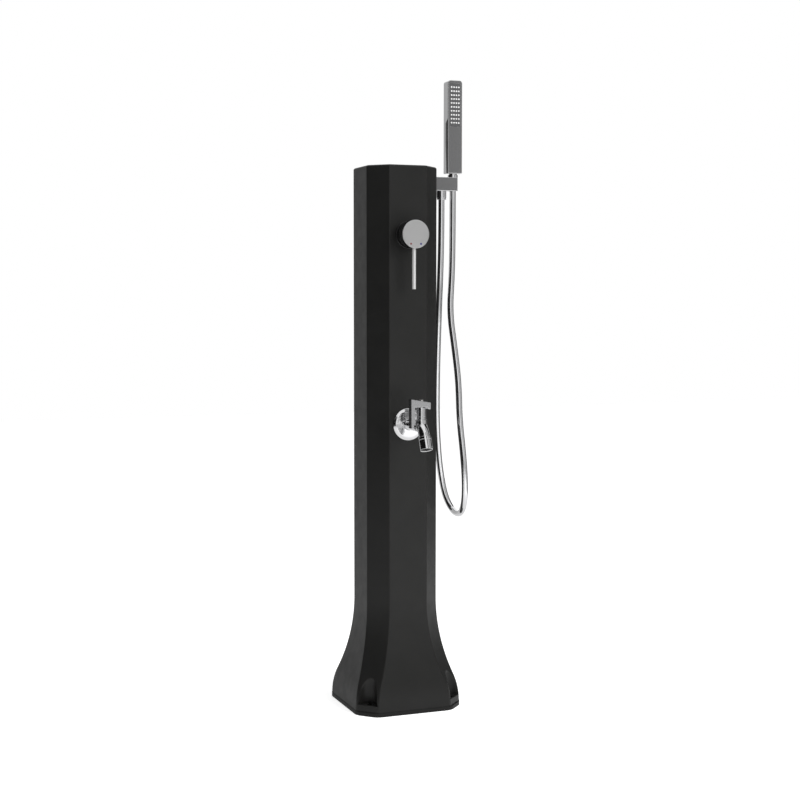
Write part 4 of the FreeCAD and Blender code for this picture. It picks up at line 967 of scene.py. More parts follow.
    def bolt_spots(self) -> list[Point]:
        """Where the floor bolts go through."""
        reach = ((2 * self.foot_half - self.cut) / math.sqrt(2) - self.pocket_inset - self.bolt_inset)
        side = reach / math.sqrt(2)
        return [(x * side, y * side, 0) for x in (1, -1) for y in (1, -1)]

    def plate(self) -> bpy.types.Object:
        """The foot plate, with its bolt holes."""
        low, high = (c.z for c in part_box("foot_plate"))
        half, leg = self.foot_half + self.plate_margin, self.cut - 2 * self.plate_margin
        corners = [(half, leg - half), (half, half - leg), (half - leg, half), (leg - half, half),
                   (-half, half - leg), (-half, leg - half), (leg - half, -half), (half - leg, -half)]
        outline = rounded([Corner(x, y, self.plate_round) for x, y in corners], True, 6)
        item = plain_object("foot_plate_rim", prism_shape(outline, low, high))
        soften(item, 0.0012, 3, 60)
        holes = [drill("plate_way_%d" % n, self.bolt_radius, low - 0.01, high + 0.01,
                       Matrix.Translation(spot)) for n, spot in enumerate(self.bolt_spots())]
        sinks = [drill("plate_sink_%d" % n, self.screw_head, low - 0.01, low + 0.004,
                       Matrix.Translation(spot), 24) for n, spot in enumerate(self.screw_spots())]
        combined(item, holes + sinks, "DIFFERENCE")
        return finished(item, FOOT, Body.POST, ["foot_plate"])

    def screw_spots(self) -> list[Point]:
        """Where the plate's screws are: two beside each bolt."""
        spots, shift = [], self.screw_shift
        for x, y, _ in self.bolt_spots():
            sx, sy = math.copysign(1, x), math.copysign(1, y)
            spots += [(x + sx * shift, y - sy * shift, 0), (x - sx * shift, y + sy * shift, 0)]
        return spots

    def screws(self, copies: NodeField) -> bpy.types.Object:
        """The plate's countersunk screws, with a socket in each head."""
        low, high = (c.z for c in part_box("foot_screws"))
        wide, thin = self.screw_head, self.screw_shank
        head = lathe_shape(rounded([
            Corner(0, 0.0016), Corner(0.0014, 0.0016), Corner(0.0016, 0.0001), Corner(wide, 0.0001, 0.0005),
            Corner(wide, 0.003), Corner(thin, 0.003), Corner(thin, high - low), Corner(0, high - low)],
            False, 3), 20)
        spots = [(x, y, low) for x, y, _ in self.screw_spots()]
        item = copies.spread("foot_screw_heads", spots, head, Matrix.Identity(4), STEEL)
        return finished(item, STEEL, Body.POST, ["foot_screws"])

    def build(self, copies: NodeField) -> None:
        """Make the column, its plate and the screws under it."""
        self.shell()
        self.plate()
        self.screws(copies)


# ------------------------------------------------------------------ mixer


@dataclass
class Mixer:
    """Round lever cap on its black sleeve, with a rod that hangs from it."""

    skirt_wall: float = 0.003
    face_thickness: float = 0.0034
    rim_width: float = 0.0016
    rim_proud: float = 0.0004
    rod_round: float = 0.0009
    sleeve_lip: float = 0.0124

    def wall(self) -> float:
        """Where the column's front face is."""
        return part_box("mixer_sleeve")[1].y

    def stand(self) -> Matrix:
        """A frame on the front face, on the mixer's axis, that points to the front."""
        low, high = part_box("mixer_sleeve")
        return frame_of(((low.x + high.x) / 2, self.wall(), (low.z + high.z) / 2), FRONT)

    def sleeve(self) -> bpy.types.Object:
        """Black sleeve with its flange on the wall."""
        low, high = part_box("mixer_sleeve")
        radius, length = (high.x - low.x) / 2, high.y - low.y
        line = rounded([
            Corner(0.0195, 0), Corner(radius, 0, 0.0004), Corner(radius, 0.005, 0.0012),
            Corner(0.0235, 0.005, 0.0008), Corner(0.0235, length, 0.0012),
            Corner(self.sleeve_lip, length, 0.0004), Corner(self.sleeve_lip, length - 0.003),
            Corner(0.0195, length - 0.003)], True)
        item = plain_object("mixer_collar", lathe_shape(line, 96), self.stand())
        return finished(item, BLACK, Body.POST, ["mixer_sleeve"])

    def cap(self) -> None:
        """The round cap: a black skirt, and on it a turned face inside a bright narrow rim."""
        low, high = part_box("mixer_cap")
        radius = (high.x - low.x) / 2
        back, face = self.wall() - high.y, self.wall() - low.y
        inner, rim = radius - self.skirt_wall, radius - self.rim_width
        seat = face - self.face_thickness
        disc = rounded([
            Corner(0, seat), Corner(radius, seat, 0.0003), Corner(radius, face, 0.0008),
            Corner(rim, face, 0.0003), Corner(rim - 0.0004, face - self.rim_proud),
            Corner(0, face - self.rim_proud)], False)
        item = plain_object("mixer_handle_face", lathe_shape(disc, 128), self.stand())
        finished(item, SATIN, Body.MIXER_LIFT, ["mixer_cap"], 40)
        skirt = rounded([
            Corner(0, seat - 0.00005), Corner(radius - 0.0003, seat - 0.00005),
            Corner(radius - 0.0003, back, 0.0006), Corner(inner, back, 0.0003),
            Corner(inner, seat - 0.002, 0.0006), Corner(0.009, seat - 0.002),
            Corner(0.009, back + 0.005, 0.0004), Corner(0.0039, back + 0.005), Corner(0.0039, seat - 0.003),
            Corner(0, seat - 0.003)], False)
        item = plain_object("mixer_handle_skirt", lathe_shape(skirt, 128), self.stand())
        finished(item, BLACK, Body.MIXER_LIFT, sharp=40)

    def rod(self) -> bpy.types.Object:
        """The lever rod with its rounded tip and a fine groove under the cap."""
        low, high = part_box("lever_rod")
        radius, length = (high.x - low.x) / 2, high.z - low.z
        cap_low = high.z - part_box("mixer_cap")[0].z
        line = rounded([
            Corner(0, 0), Corner(radius, 0, 0.0003), Corner(radius, cap_low + 0.0015),
            Corner(radius - 0.0003, cap_low + 0.0018), Corner(radius - 0.0003, cap_low + 0.0026),
            Corner(radius, cap_low + 0.0029), Corner(radius, length, self.rod_round),
            Corner(0, length)], False)
        centre = ((low.x + high.x) / 2, (low.y + high.y) / 2, high.z)
        item = plain_object("lever_pin", lathe_shape(line, 40), frame_of(centre, DOWN))
        return finished(item, ROD, Body.MIXER_LIFT, ["lever_rod"])

    def marks(self) -> None:
        """The red and the blue dot, slightly domed."""
        for node, name, finish, slot in (("hot_mark", "red_dot_inlay", RED, "red_mark"),
                                         ("cold_mark", "blue_dot_inlay", BLUE, "blue_mark")):
            low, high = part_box(node)
            radius, depth = (high.x - low.x) / 2, high.y - low.y
            line = rounded([Corner(0, 0), Corner(radius, 0), Corner(radius, depth, 0.0002),
                            Corner(0, depth + 0.0001)], False)
            centre = ((low.x + high.x) / 2, high.y, (low.z + high.z) / 2)
            item = plain_object(name, lathe_shape(line, 32), frame_of(centre, FRONT))
            finished(item, finish, Body.MIXER_LIFT, [node])

    def grub(self) -> bpy.types.Object:
        """The grub screw, with a six-sided socket."""
        foot, radius, length = upright("cap_screw")
        line = rounded([Corner(0, 0), Corner(radius, 0), Corner(radius, length, 0.0003),
                        Corner(0, length)], False)
        item = plain_object("cap_grub", lathe_shape(line, 24), frame_of(foot, UP))
        socket = drill("grub_socket", 0.001, length - 0.0015, length + 0.001, frame_of(foot, UP), 6)
        combined(item, [socket], "DIFFERENCE")
        return finished(item, STEEL, Body.MIXER_LIFT, ["cap_screw"])

    def build(self) -> None:
        """Make all of the mixer that shows."""
        self.sleeve()
        self.cap()
        self.rod()
        self.marks()
        self.grub()


# ------------------------------------------------------------------ foot tap


@dataclass
class FootTap:
    """Bib tap with its rosette, angular quarter-turn handle and slanted spout."""

    barrel_radius: float = 0.0118
    valve_front: float = 0.075
    valve_radius: float = 0.0119
    valve_top: float = 0.016
    bend_ahead: float = 0.0117
    bend_drop: float = 0.0038
    neck_radius: float = 0.012
    nose_ahead: float = 0.0188
    nose_drop: float = 0.0205
    nose_tilt: float = 23.0
    nose_length: float = 0.028
    nose_radius: float = 0.0138
    mouth_radius: float = 0.0115
    mouth_depth: float = 0.008
    cast_voxel: float = 0.0006
    handle_left: float = 0.025
    handle_right: float = 0.019
    handle_high: float = 0.059
    handle_low: float = 0.0515
    handle_thumb: float = 0.0375
    grip_thickness: float = 0.0085
    grip_bottom: float = 0.0035
    grip_cut: float = 0.006
    bonnet_top: float = 0.041
    bonnet_radius: float = 0.01
    axis: Vector = field(default_factory=Vector)
    wall: float = 0.0

    def measure(self) -> None:
        """Read the tap's place off the rosette."""
        low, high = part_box("tap_rosette")
        self.wall = high.y
        self.axis = Vector(((low.x + high.x) / 2, high.y - self.valve_front, (low.z + high.z) / 2))

    def rosette(self) -> bpy.types.Object:
        """A thin domed disc with a rolled edge."""
        low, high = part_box("tap_rosette")
        radius, length = (high.x - low.x) / 2, high.y - low.y
        line = rounded([
            Corner(0.0105, 0), Corner(radius, 0, 0.0003), Corner(radius, 0.0022, 0.0012),
            Corner(radius - 0.006, length - 0.0018, 0.012), Corner(radius / 2, length - 0.0004, 0.02),
            Corner(self.barrel_radius + 0.0005, length, 0.0008),
            Corner(self.barrel_radius + 0.0002, length - 0.002), Corner(0.0105, length - 0.002)], True, 6)
        item = plain_object("tap_wall_rosette", lathe_shape(line, 128),
                            frame_of((self.axis.x, self.wall, self.axis.z), FRONT))
        return finished(item, CHROME, Body.POST, ["tap_rosette"], 50)

    def nose(self) -> Matrix:
        """Frame of the spout's end: its origin at the sleeve's upper edge, its Z along the water's way."""
        tilt = math.radians(self.nose_tilt)
        return frame_of(self.axis + Vector((0, -self.nose_ahead, -self.nose_drop)),
                        Vector((0, -math.sin(tilt), -math.cos(tilt))))

    def cast_body(self) -> bpy.types.Object:
        """Barrel, valve chamber and spout, cast in one with soft joins."""
        start = 0.0075
        barrel = plain_object("tap_casting", lathe_shape(rounded([
            Corner(0, -0.026), Corner(0.0104, -0.026), Corner(0.0104, start),
            Corner(self.barrel_radius, start), Corner(self.barrel_radius, self.valve_front - 0.016, 0.02),
            Corner(self.neck_radius, self.valve_front + 0.001, 0.004),
            Corner(0, self.valve_front + 0.001)], False), 96),
            frame_of((self.axis.x, self.wall, self.axis.z), FRONT))
        chamber = plain_object("tap_chamber", lathe_shape(rounded([
            Corner(0, 0), Corner(self.valve_radius, 0), Corner(self.valve_radius, self.valve_top, 0.001),
            Corner(0, self.valve_top)], False), 96), frame_of(self.axis, UP))
        nose = self.nose()
        bend = self.axis + Vector((0, -self.bend_ahead, -self.bend_drop))
        path = interpolate_bezier(self.axis, self.axis.lerp(bend, 2 / 3), nose.translation.lerp(bend, 2 / 3),
                                  nose.translation, 33)
        path.append(nose @ Vector((0, 0, self.nose_length - self.mouth_depth)))
        neck = plain_object("tap_neck", bent_bar(path, self.neck_radius))
        combined(barrel, [chamber, neck], "UNION")
        remesh = barrel.modifiers.new("cast", "REMESH")
        remesh.mode = "VOXEL"
        remesh.voxel_size = self.cast_voxel
        smooth = barrel.modifiers.new("polish", "SMOOTH")
        smooth.factor = 0.5
        smooth.iterations = 24
        settle(barrel)
        return finished(barrel, CHROME, Body.POST, ["tap_body"], 60)

    def bonnet(self) -> bpy.types.Object:
        """The bonnet over the valve, with a fine groove at its foot."""
        radius, foot = self.bonnet_radius, self.valve_top
        line = rounded([
            Corner(0.0041, 0.010), Corner(0.009, 0.010), Corner(0.009, foot + 0.0008),
            Corner(radius, foot + 0.0008, 0.0004), Corner(radius, foot + 0.005, 0.0003),
            Corner(radius - 0.0005, foot + 0.0054), Corner(radius - 0.0005, foot + 0.0062),
            Corner(radius, foot + 0.0066, 0.0003), Corner(radius, self.bonnet_top, 0.0008),
            Corner(0.0041, self.bonnet_top)], True)
        item = plain_object("tap_bonnet_sleeve", lathe_shape(line, 96), frame_of(self.axis, UP))
        return finished(item, CHROME, Body.POST, ["tap_bonnet"])

    def handle(self) -> bpy.types.Object:
        """The angular handle: a sloping bar and the grip that hangs at its left end."""
        low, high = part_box("tap_handle")
        width = high.y - low.y
        under = self.bonnet_top + 0.001
        inner = self.grip_thickness - self.handle_left
        outline = rounded([
            Corner(-self.handle_left, self.handle_high, 0.0015),
            Corner(-self.handle_left, 0.0015 - self.grip_bottom, 0.0012),
            Corner(self.grip_thickness * 0.2 - self.handle_left, -self.grip_bottom, 0.0008),
            Corner(inner, self.grip_cut, 0.0009), Corner(inner, under, 0.002),
            Corner(0.0118, under, 0.0008), Corner(0.0148, self.handle_thumb, 0.0015),
            Corner(self.handle_right, self.handle_thumb, 0.0012),
            Corner(self.handle_right, self.handle_low, 0.0015)], True, 4)
        side = frame_of((self.axis.x, self.axis.y + width / 2, self.axis.z), FRONT, RIGHT)
        item = plain_object("tap_lever_handle", prism_shape(outline, 0, width), side)
        soften(item, 0.0009, 3, 50)
        slope = (self.handle_high - self.handle_low) / (self.handle_left + self.handle_right)
        top = self.handle_high - self.handle_left * slope
        sink = drill("handle_sink", 0.0051, top - 0.0016, top + 0.01, frame_of(self.axis, UP), 48)
        bore = plain_object("handle_bore", lathe_shape(
            [(0, under - 0.01), (0.00405, under - 0.01), (0.00405, 0.05), (0.0021, 0.05),
             (0.0021, top + 0.01), (0, top + 0.01)], 32), frame_of(self.axis, UP))
        combined(item, [sink, bore], "DIFFERENCE")
        return finished(item, CHROME, Body.TAP_LEVER, ["tap_handle"])

    def handle_screw(self) -> bpy.types.Object:
        """The flat round screw on the handle, with a socket."""
        low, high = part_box("tap_handle_screw")
        radius, length = (high.x - low.x) / 2, high.z - low.z
        head = 0.0044
        line = rounded([
            Corner(0, 0), Corner(0.002, 0, 0.0004), Corner(0.002, length - head),
            Corner(radius, length - head), Corner(radius, length, 0.0008), Corner(0, length)], False)
        stand = frame_of((self.axis.x, self.axis.y, low.z), UP)
        item = plain_object("tap_handle_button", lathe_shape(line, 48), stand)
        socket = drill("button_socket", 0.0015, length - 0.0015, length + 0.001, stand, 6)
        combined(item, [socket], "DIFFERENCE")
        return finished(item, STEEL, Body.TAP_LEVER, ["tap_handle_screw"])

    def outlet(self) -> bpy.types.Object:
        """The sleeve on the spout's end, with a fine bead at its lower edge."""
        line = rounded([
            Corner(self.mouth_radius, 0), Corner(self.nose_radius, 0, 0.0012),
            Corner(self.nose_radius, 0.006, 0.0003), Corner(self.nose_radius - 0.0004, 0.0064),
            Corner(self.nose_radius - 0.0004, 0.0072), Corner(self.nose_radius, 0.0076, 0.0003),
            Corner(self.nose_radius, self.nose_length, 0.0007),
            Corner(self.mouth_radius + 0.0008, self.nose_length, 0.0004),
            Corner(self.mouth_radius, self.nose_length - 0.001)], True)
        item = plain_object("spout_end_sleeve", lathe_shape(line, 96), self.nose())
        return finished(item, CHROME, Body.POST, ["spout_sleeve"])

    def aerator(self, copies: NodeField) -> None:
        """The aerator: a ring and a grid of fine bars inside the sleeve."""
        way = self.nose()
        start, thickness = self.nose_length - self.mouth_depth, 0.005
        line = rounded([
            Corner(0.0088, start), Corner(self.mouth_radius - 0.0001, start),
            Corner(self.mouth_radius - 0.0001, start + thickness, 0.0004),
            Corner(0.0094, start + thickness, 0.0004), Corner(0.0088, start + thickness - 0.001)], True)
        ring = plain_object("aerator_ring", lathe_shape(line, 64), way)
        finished(ring, SPRAY_GREY, Body.POST, ["tap_aerator"])
        pitch, reach = 0.0018, 0.0086
        thin, deep = 0.0005, 0.0009
        grid = bmesh.new()
        for i in range(-4, 5):
            across, span = i * pitch, 2 * math.sqrt(reach ** 2 - (i * pitch) ** 2)
            for centre, size in (((across, 0, start + 0.0032), (thin, span, deep)),
                                 ((0, across, start + 0.0024), (span, thin, deep))):
                bmesh.ops.create_cube(grid, size=1.0,
                                      matrix=Matrix.Translation(centre) @ Matrix.Diagonal((*size, 1)))
        item = copies.spread("aerator_grid", [(0, 0, 0)], grid, way, SPRAY_GREY)
        finished(item, SPRAY_GREY, Body.POST)

    def build(self, copies: NodeField) -> None:
        """Make all of the tap that shows."""
        self.measure()
        self.rosette()
        self.cast_body()
        self.bonnet()
        self.handle()
        self.handle_screw()
        self.outlet()
        self.aerator(copies)


# ------------------------------------------------------------------ outlet block and hose


@dataclass
class OutletBlock:
    """Square block on the right side: water outlet, hose nut and open cone socket."""

    edge: float = 0.0012
    socket_play: float = 0.0001
    inlet_bore: float = 0.0065
    hexagon_length: float = 0.007
    thread_radius: float = 0.01048
    thread_pitch: float = 0.001814

    def block(self) -> bpy.types.Object:
        """The block, with its open socket for the cone."""
        low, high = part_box("holder_block")
        outline = rounded([Corner(low.x, low.y), Corner(high.x, low.y, 0.0015),
                           Corner(high.x, high.y, 0.0015), Corner(low.x, high.y)], True, 4)
        item = plain_object("outlet_block", prism_shape(outline, low.z, high.z))
        soften(item, self.edge, 3, 60)
        cone_low, cone_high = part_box("cone_nut")
        x = (cone_low.x + cone_high.x) / 2
        small, large = 0.0096, (cone_high.x - cone_low.x) / 2
        taper = (large - small) / (cone_high.z - 0.003 - cone_low.z)
        bottom = small + self.socket_play - (cone_low.z - low.z + 0.002) * taper
        top = bottom + (high.z - low.z + 0.004) * taper
        socket = plain_object("cone_socket", lathe_shape(
            [(0, low.z - 0.002), (bottom, low.z - 0.002), (top, high.z + 0.002), (0, high.z + 0.002)], 96),
            Matrix.Translation((x, 0, 0)))
        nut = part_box("hose_nut")
        way = drill("hose_way", 0.009, low.z - 0.002, low.z + 0.010,
                    Matrix.Translation(((nut[0].x + nut[1].x) / 2, 0, 0)), 48)
        combined(item, [socket, way], "DIFFERENCE")
        soften(item, 0.0003, 2, 45)
        return finished(item, CHROME, Body.POST, ["holder_block"])

    def hose_nut(self) -> bpy.types.Object:
        """The smooth round nut of the hose, with a groove above its foot."""
        foot, radius, length = upright("hose_nut")
        line = rounded([
            Corner(0.0074, 0), Corner(radius - 0.0004, 0, 0.0012), Corner(radius - 0.0004, 0.0026, 0.0003),
            Corner(radius - 0.0009, 0.003), Corner(radius - 0.0009, 0.0038), Corner(radius, 0.0042, 0.0004),
            Corner(radius, length, 0.0006),
            Corner(0.009, length), Corner(0.009, 0.004), Corner(0.0074, 0.004)], True)
        item = plain_object("hose_nut_cone", lathe_shape(line, 96), Matrix.Translation(foot))
        return finished(item, CHROME, Body.POST, ["hose_nut"])

    def inlet(self) -> None:
        """The threaded inlet low on the back."""
        low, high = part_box("inlet_nipple")
        wall = self.back_wall()
        stand = frame_of(((low.x + high.x) / 2, wall, (low.z + high.z) / 2), BACK)
        bore, radius, start = self.inlet_bore, self.thread_radius, self.hexagon_length
        hexagon = plain_object("inlet_hexagon", lathe_shape(
            [(bore, 0), (0.015, 0), (0.015, start), (bore, start)], 6), stand)
        soften(hexagon, 0.0006, 2, 30)
        finished(hexagon, BRASS, Body.POST)
        thread = plain_object("inlet_thread", thread_shape(
            radius, 0.0009, self.thread_pitch, start, high.y - wall, bore, 64), stand)
        finished(thread, BRASS, Body.POST, sharp=60)
        tail = plain_object("inlet_tail", lathe_shape(
            [(bore, low.y - wall), (radius, low.y - wall), (radius, 0), (bore, 0)], 48), stand)
        finished(tail, BRASS, Body.POST, ["inlet_nipple"])

    def back_wall(self) -> float:
        """Where the column's back face is."""
        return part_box("inlet_seal")[1].y + 0.004

    def build(self) -> None:
        """Make the block, the hose nut and the inlet."""
        self.block()
        self.hose_nut()
        self.inlet()


@dataclass
class Hose:
    """The shower hose: it hangs from its nut in one long loop and comes up under the hand shower."""

    diameter: float = 0.014
    step: float = 0.004
    sides: int = 28
    length: float = 1.49
    still: Point = (0.1831, 0, 0)
    moving: Point = (0.19745, 0, 0.00085)
    route: tuple[Point, ...] = (
        (0.110, 0, 1.010), (0.108, 0.008, 0.880), (0.111, 0.026, 0.745), (0.115, 0.039, 0.625),
        (0.124, 0.048, 0.540), (0.132, 0.051, 0.490), (0.142, 0.049, 0.442), (0.150, 0.021, 0.413),
        (0.149, -0.022, 0.413), (0.146, -0.050, 0.442), (0.146, -0.053, 0.490), (0.142, -0.052, 0.550),
        (0.135, -0.046, 0.630), (0.137, -0.036, 0.710), (0.132, -0.025, 0.785), (0.124, -0.015, 0.865),
        (0.134, -0.004, 0.950), (0.137, 0, 1.045))

    def ends(self) -> tuple[Point, Point]:
        """Where the hose leaves its nut, and where it meets the swivel."""
        nut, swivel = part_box("hose_nut"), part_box("hose_swivel")
        return (((nut[0].x + nut[1].x) / 2, 0, nut[0].z), ((swivel[0].x + swivel[1].x) / 2, 0, swivel[0].z))

    def line(self) -> list[Point]:
        """Points along the smooth curve of the route."""
        start, end = self.ends()
        points = [start, *self.route, end]
        curve = bpy.data.curves.new("hose_route", "CURVE")
        curve.dimensions = "3D"
        curve.resolution_u = 16
        spline = curve.splines.new("NURBS")
        spline.points.add(len(points) - 1)
        for point, place in zip(spline.points, points):
            point.co = (*place, 1)
        spline.order_u = 3
        spline.use_endpoint_u = True
        item = bpy.data.objects.new("hose_route", curve)
        bpy.context.scene.collection.objects.link(item)
        bpy.context.view_layer.update()
        mesh = bpy.data.meshes.new_from_object(item.evaluated_get(bpy.context.evaluated_depsgraph_get()))
        line = [tuple(v.co) for v in mesh.vertices]
        bpy.data.meshes.remove(mesh)
        bpy.data.objects.remove(item)
        bpy.data.curves.remove(curve)
        return line

    def build(self, tubes: TubeTree) -> None:
        """Lay the tube along the route's curve, shade it smooth, hide the CAD hose and add the swivel at its
        end.
        """
        line = self.line()
        seed = bmesh.new()
        verts = [seed.verts.new(p) for p in line]
        for a, b in zip(verts, verts[1:]):
            seed.edges.new((a, b))
        item = plain_object("hanging_hose", seed)
        tubes.lay(item, self.diameter / 2, self.step, self.sides, HOSE)
        mesh = item.data
        for face in mesh.polygons:
            face.use_smooth = True
        start, end = self.ends()
        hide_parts("shower_hose")
        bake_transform(item)
        log.info("piece %s: %d faces", item.name, len(mesh.polygons))
        self.swivel(end)

    def swivel(self, end: Point) -> None:
        """The swivel at the hose's end."""
        low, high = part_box("hose_swivel")
        head = high.z - low.z
        line = rounded([
            Corner(0.0025, 0), Corner(0.007, 0, 0.0004), Corner(0.007, 0.003, 0.0004), Corner(0.005, 0.003),
            Corner(0.005, head - 0.003), Corner((high.x - low.x) / 2, head - 0.003),
            Corner((high.x - low.x) / 2, head, 0.0004), Corner(0.0025, head)], True)
        item = plain_object("hose_end_swivel", lathe_shape(line, 64), Matrix.Translation(end))
        finished(item, CHROME, Body.HOSE_END, ["hose_swivel"])


# ------------------------------------------------------------------ hand shower


@dataclass
class HandShower:
    """Flat stick hand shower: shell, front cover, a black wedge that is painted reflection, and a grid of
    soft nozzles.
    """

    corner: float = 0.007
    low_corner: float = 0.0018
    edge: float = 0.0014
    seam: float = 0.00035
    cover: float = 0.0013
    # size of the black wedge that is painted reflection on the stick's side
    painted_reflection_depth: float = 0.0125
    painted_reflection_foot: float = 0.0070
    painted_reflection_height: float = 0.120
    plate_round: float = 0.002
    columns: int = 4
    rows: int = 10
    side_pitch: float = 0.0057
    up_pitch: float = 0.0086
    nozzle_foot: float = 0.00185
    nozzle_tip: float = 0.00155
    nozzle_bore: float = 0.00045

    def extents(self) -> tuple[Vector, Vector]:
        """Lowest and highest corner of the whole stick."""
        shell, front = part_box("handset_shell"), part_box("handset_cover")
        return (Vector((shell[0].x, front[0].y, shell[0].z)), Vector((shell[1].x, shell[1].y, shell[1].z)))

    def blank(self, name: str) -> bpy.types.Object:
        """The whole stick as one rounded bar."""
        low, high = self.extents()
        outline = rounded([
            Corner(low.x, low.z, self.low_corner), Corner(high.x, low.z, self.low_corner),
            Corner(high.x, high.z, self.corner), Corner(low.x, high.z, self.corner)], True, 8)
        return soften(facing_prism(name, outline, low.y, high.y), self.edge, 4, 60)

    def slab(self, name: str, low_y: float, high_y: float) -> bpy.types.Object:
        """A block wider than the stick, between two depths."""
        low, high = self.extents()
        bm = prism_shape([(low.x - 0.01, low_y), (high.x + 0.01, low_y), (high.x + 0.01, high_y),
                          (low.x - 0.01, high_y)], low.z - 0.01, high.z + 0.01)
        return plain_object(name, bm)

    def wedge(self, name: str, slack: float) -> bpy.types.Object:
        """The space of the black wedge that paints a dark reflection on the stick's side; it narrows to a
        point upwards.
        """
        low, high = self.extents()
        front = low.y + self.cover
        deep, top = front + self.painted_reflection_depth + slack, low.z + self.painted_reflection_height
        outline = rounded([
            Corner(front - 0.001, low.z - 0.01), Corner(front + self.painted_reflection_foot + slack, low.z - 0.01),
            Corner(deep, low.z + self.painted_reflection_height * 0.55, 0.060), Corner(deep, top - 0.009, 0.006),
            Corner(front + slack, top), Corner(front - 0.001, top)], True, 8)
        stand = Matrix(((0, 0, 1, 0), (1, 0, 0, 0), (0, 1, 0, 0), (0, 0, 0, 1)))
        return plain_object(name, prism_shape(outline, low.x - 0.01, high.x + 0.01), stand)

    def body(self) -> None:
        """Shell, cover and the black wedge of painted reflection, with fine seams between them."""
        low, high = self.extents()
        split = low.y + self.cover
        shell = self.blank("stick_shell")
        combined(shell, [self.slab("shell_cut", low.y - 0.01, split), self.wedge("wedge_cut", 0),
                         self.window(low.y - 0.01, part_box("spray_plate")[1].y, 0.0)], "DIFFERENCE")
        soften(shell, self.seam, 2, 50)
        finished(shell, CHROME, Body.HANDSET, ["handset_shell"])
        cover = self.blank("stick_cover")
        combined(cover, [self.slab("cover_keep", low.y - 0.01, split - 0.00005)], "INTERSECT")
        window = self.window(low.y - 0.01, split + 0.01, 0.0)
        combined(cover, [window], "DIFFERENCE")
        soften(cover, self.seam, 2, 50)
        finished(cover, CHROME, Body.HANDSET, ["handset_cover"])
        # painted reflection: a black wedge where the chrome side shows a dark reflection
        painted_reflection_wedge = self.blank("stick_inlay")
        combined(painted_reflection_wedge, [self.wedge("inlay_keep", -0.00005)], "INTERSECT")
        combined(painted_reflection_wedge, [self.slab("inlay_cut", low.y - 0.01, split)], "DIFFERENCE")
        soften(painted_reflection_wedge, self.seam / 2, 2, 50)
        finished(painted_reflection_wedge, BLACK, Body.HANDSET, ["handset_inlay"])

    def window(self, low_y: float, high_y: float, inset: float) -> bpy.types.Object:
        """A rounded block as large as the spray plate."""
        low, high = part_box("spray_plate")
        left, right, foot, top = low.x + inset, high.x - inset, low.z + inset, high.z - inset
        corners = ((left, foot), (right, foot), (right, top), (left, top))
        outline = rounded([Corner(x, z, self.plate_round) for x, z in corners], True, 5)
        return facing_prism("window", outline, low_y, high_y)

    def spray(self, copies: NodeField) -> None:
        """The dark spray plate and its soft nozzles."""
        low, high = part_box("spray_plate")
        plate = self.window(low.y, high.y, 0.0001)
        plate.name = "spray_face"
        soften(plate, 0.0004, 2, 50)
        finished(plate, SPRAY_GREY, Body.HANDSET, ["spray_plate"])
        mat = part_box("nozzle_mat")
        centre = (low + high) / 2
        tip = low.y - mat[0].y
        spots = [(centre.x + (c - (self.columns - 1) / 2) * self.side_pitch, low.y + 0.0006,
                  centre.z + (r - (self.rows - 1) / 2) * self.up_pitch)
                 for c in range(self.columns) for r in range(self.rows)]
        height = tip + 0.0006
        shape = lathe_shape([
            (0, 0), (self.nozzle_foot, 0), (self.nozzle_foot, 0.0007),
            (self.nozzle_tip + 0.0002, height - 0.0002), (self.nozzle_tip, height),
            (self.nozzle_bore, height), (self.nozzle_bore, height - 0.0006), (0, height - 0.0006)], 16)
        item = copies.spread("spray_nozzles", spots, shape, frame_of((0, 0, 0), FRONT), SILICONE)
        finished(item, SILICONE, Body.HANDSET, ["nozzle_mat"], 50)

    def cone(self) -> None:
        """The cone nut that sits in the block."""
        foot, radius, length = upright("cone_nut")
        line = rounded([
            Corner(0.0051, 0), Corner(0.0096, 0, 0.0005), Corner(radius, length - 0.003, 0.0004),
            Corner(radius, length, 0.0006), Corner(0.009, length), Corner(0.009, 0.0034),
            Corner(0.0051, 0.0034)], True)
        item = plain_object("hose_cone", lathe_shape(line, 96), Matrix.Translation(foot))
        finished(item, CHROME, Body.HANDSET, ["cone_nut"])

    def build(self, copies: NodeField) -> None:
        """Make the whole hand shower."""
        self.body()
        self.spray(copies)
        self.cone()


# ------------------------------------------------------------------ studio


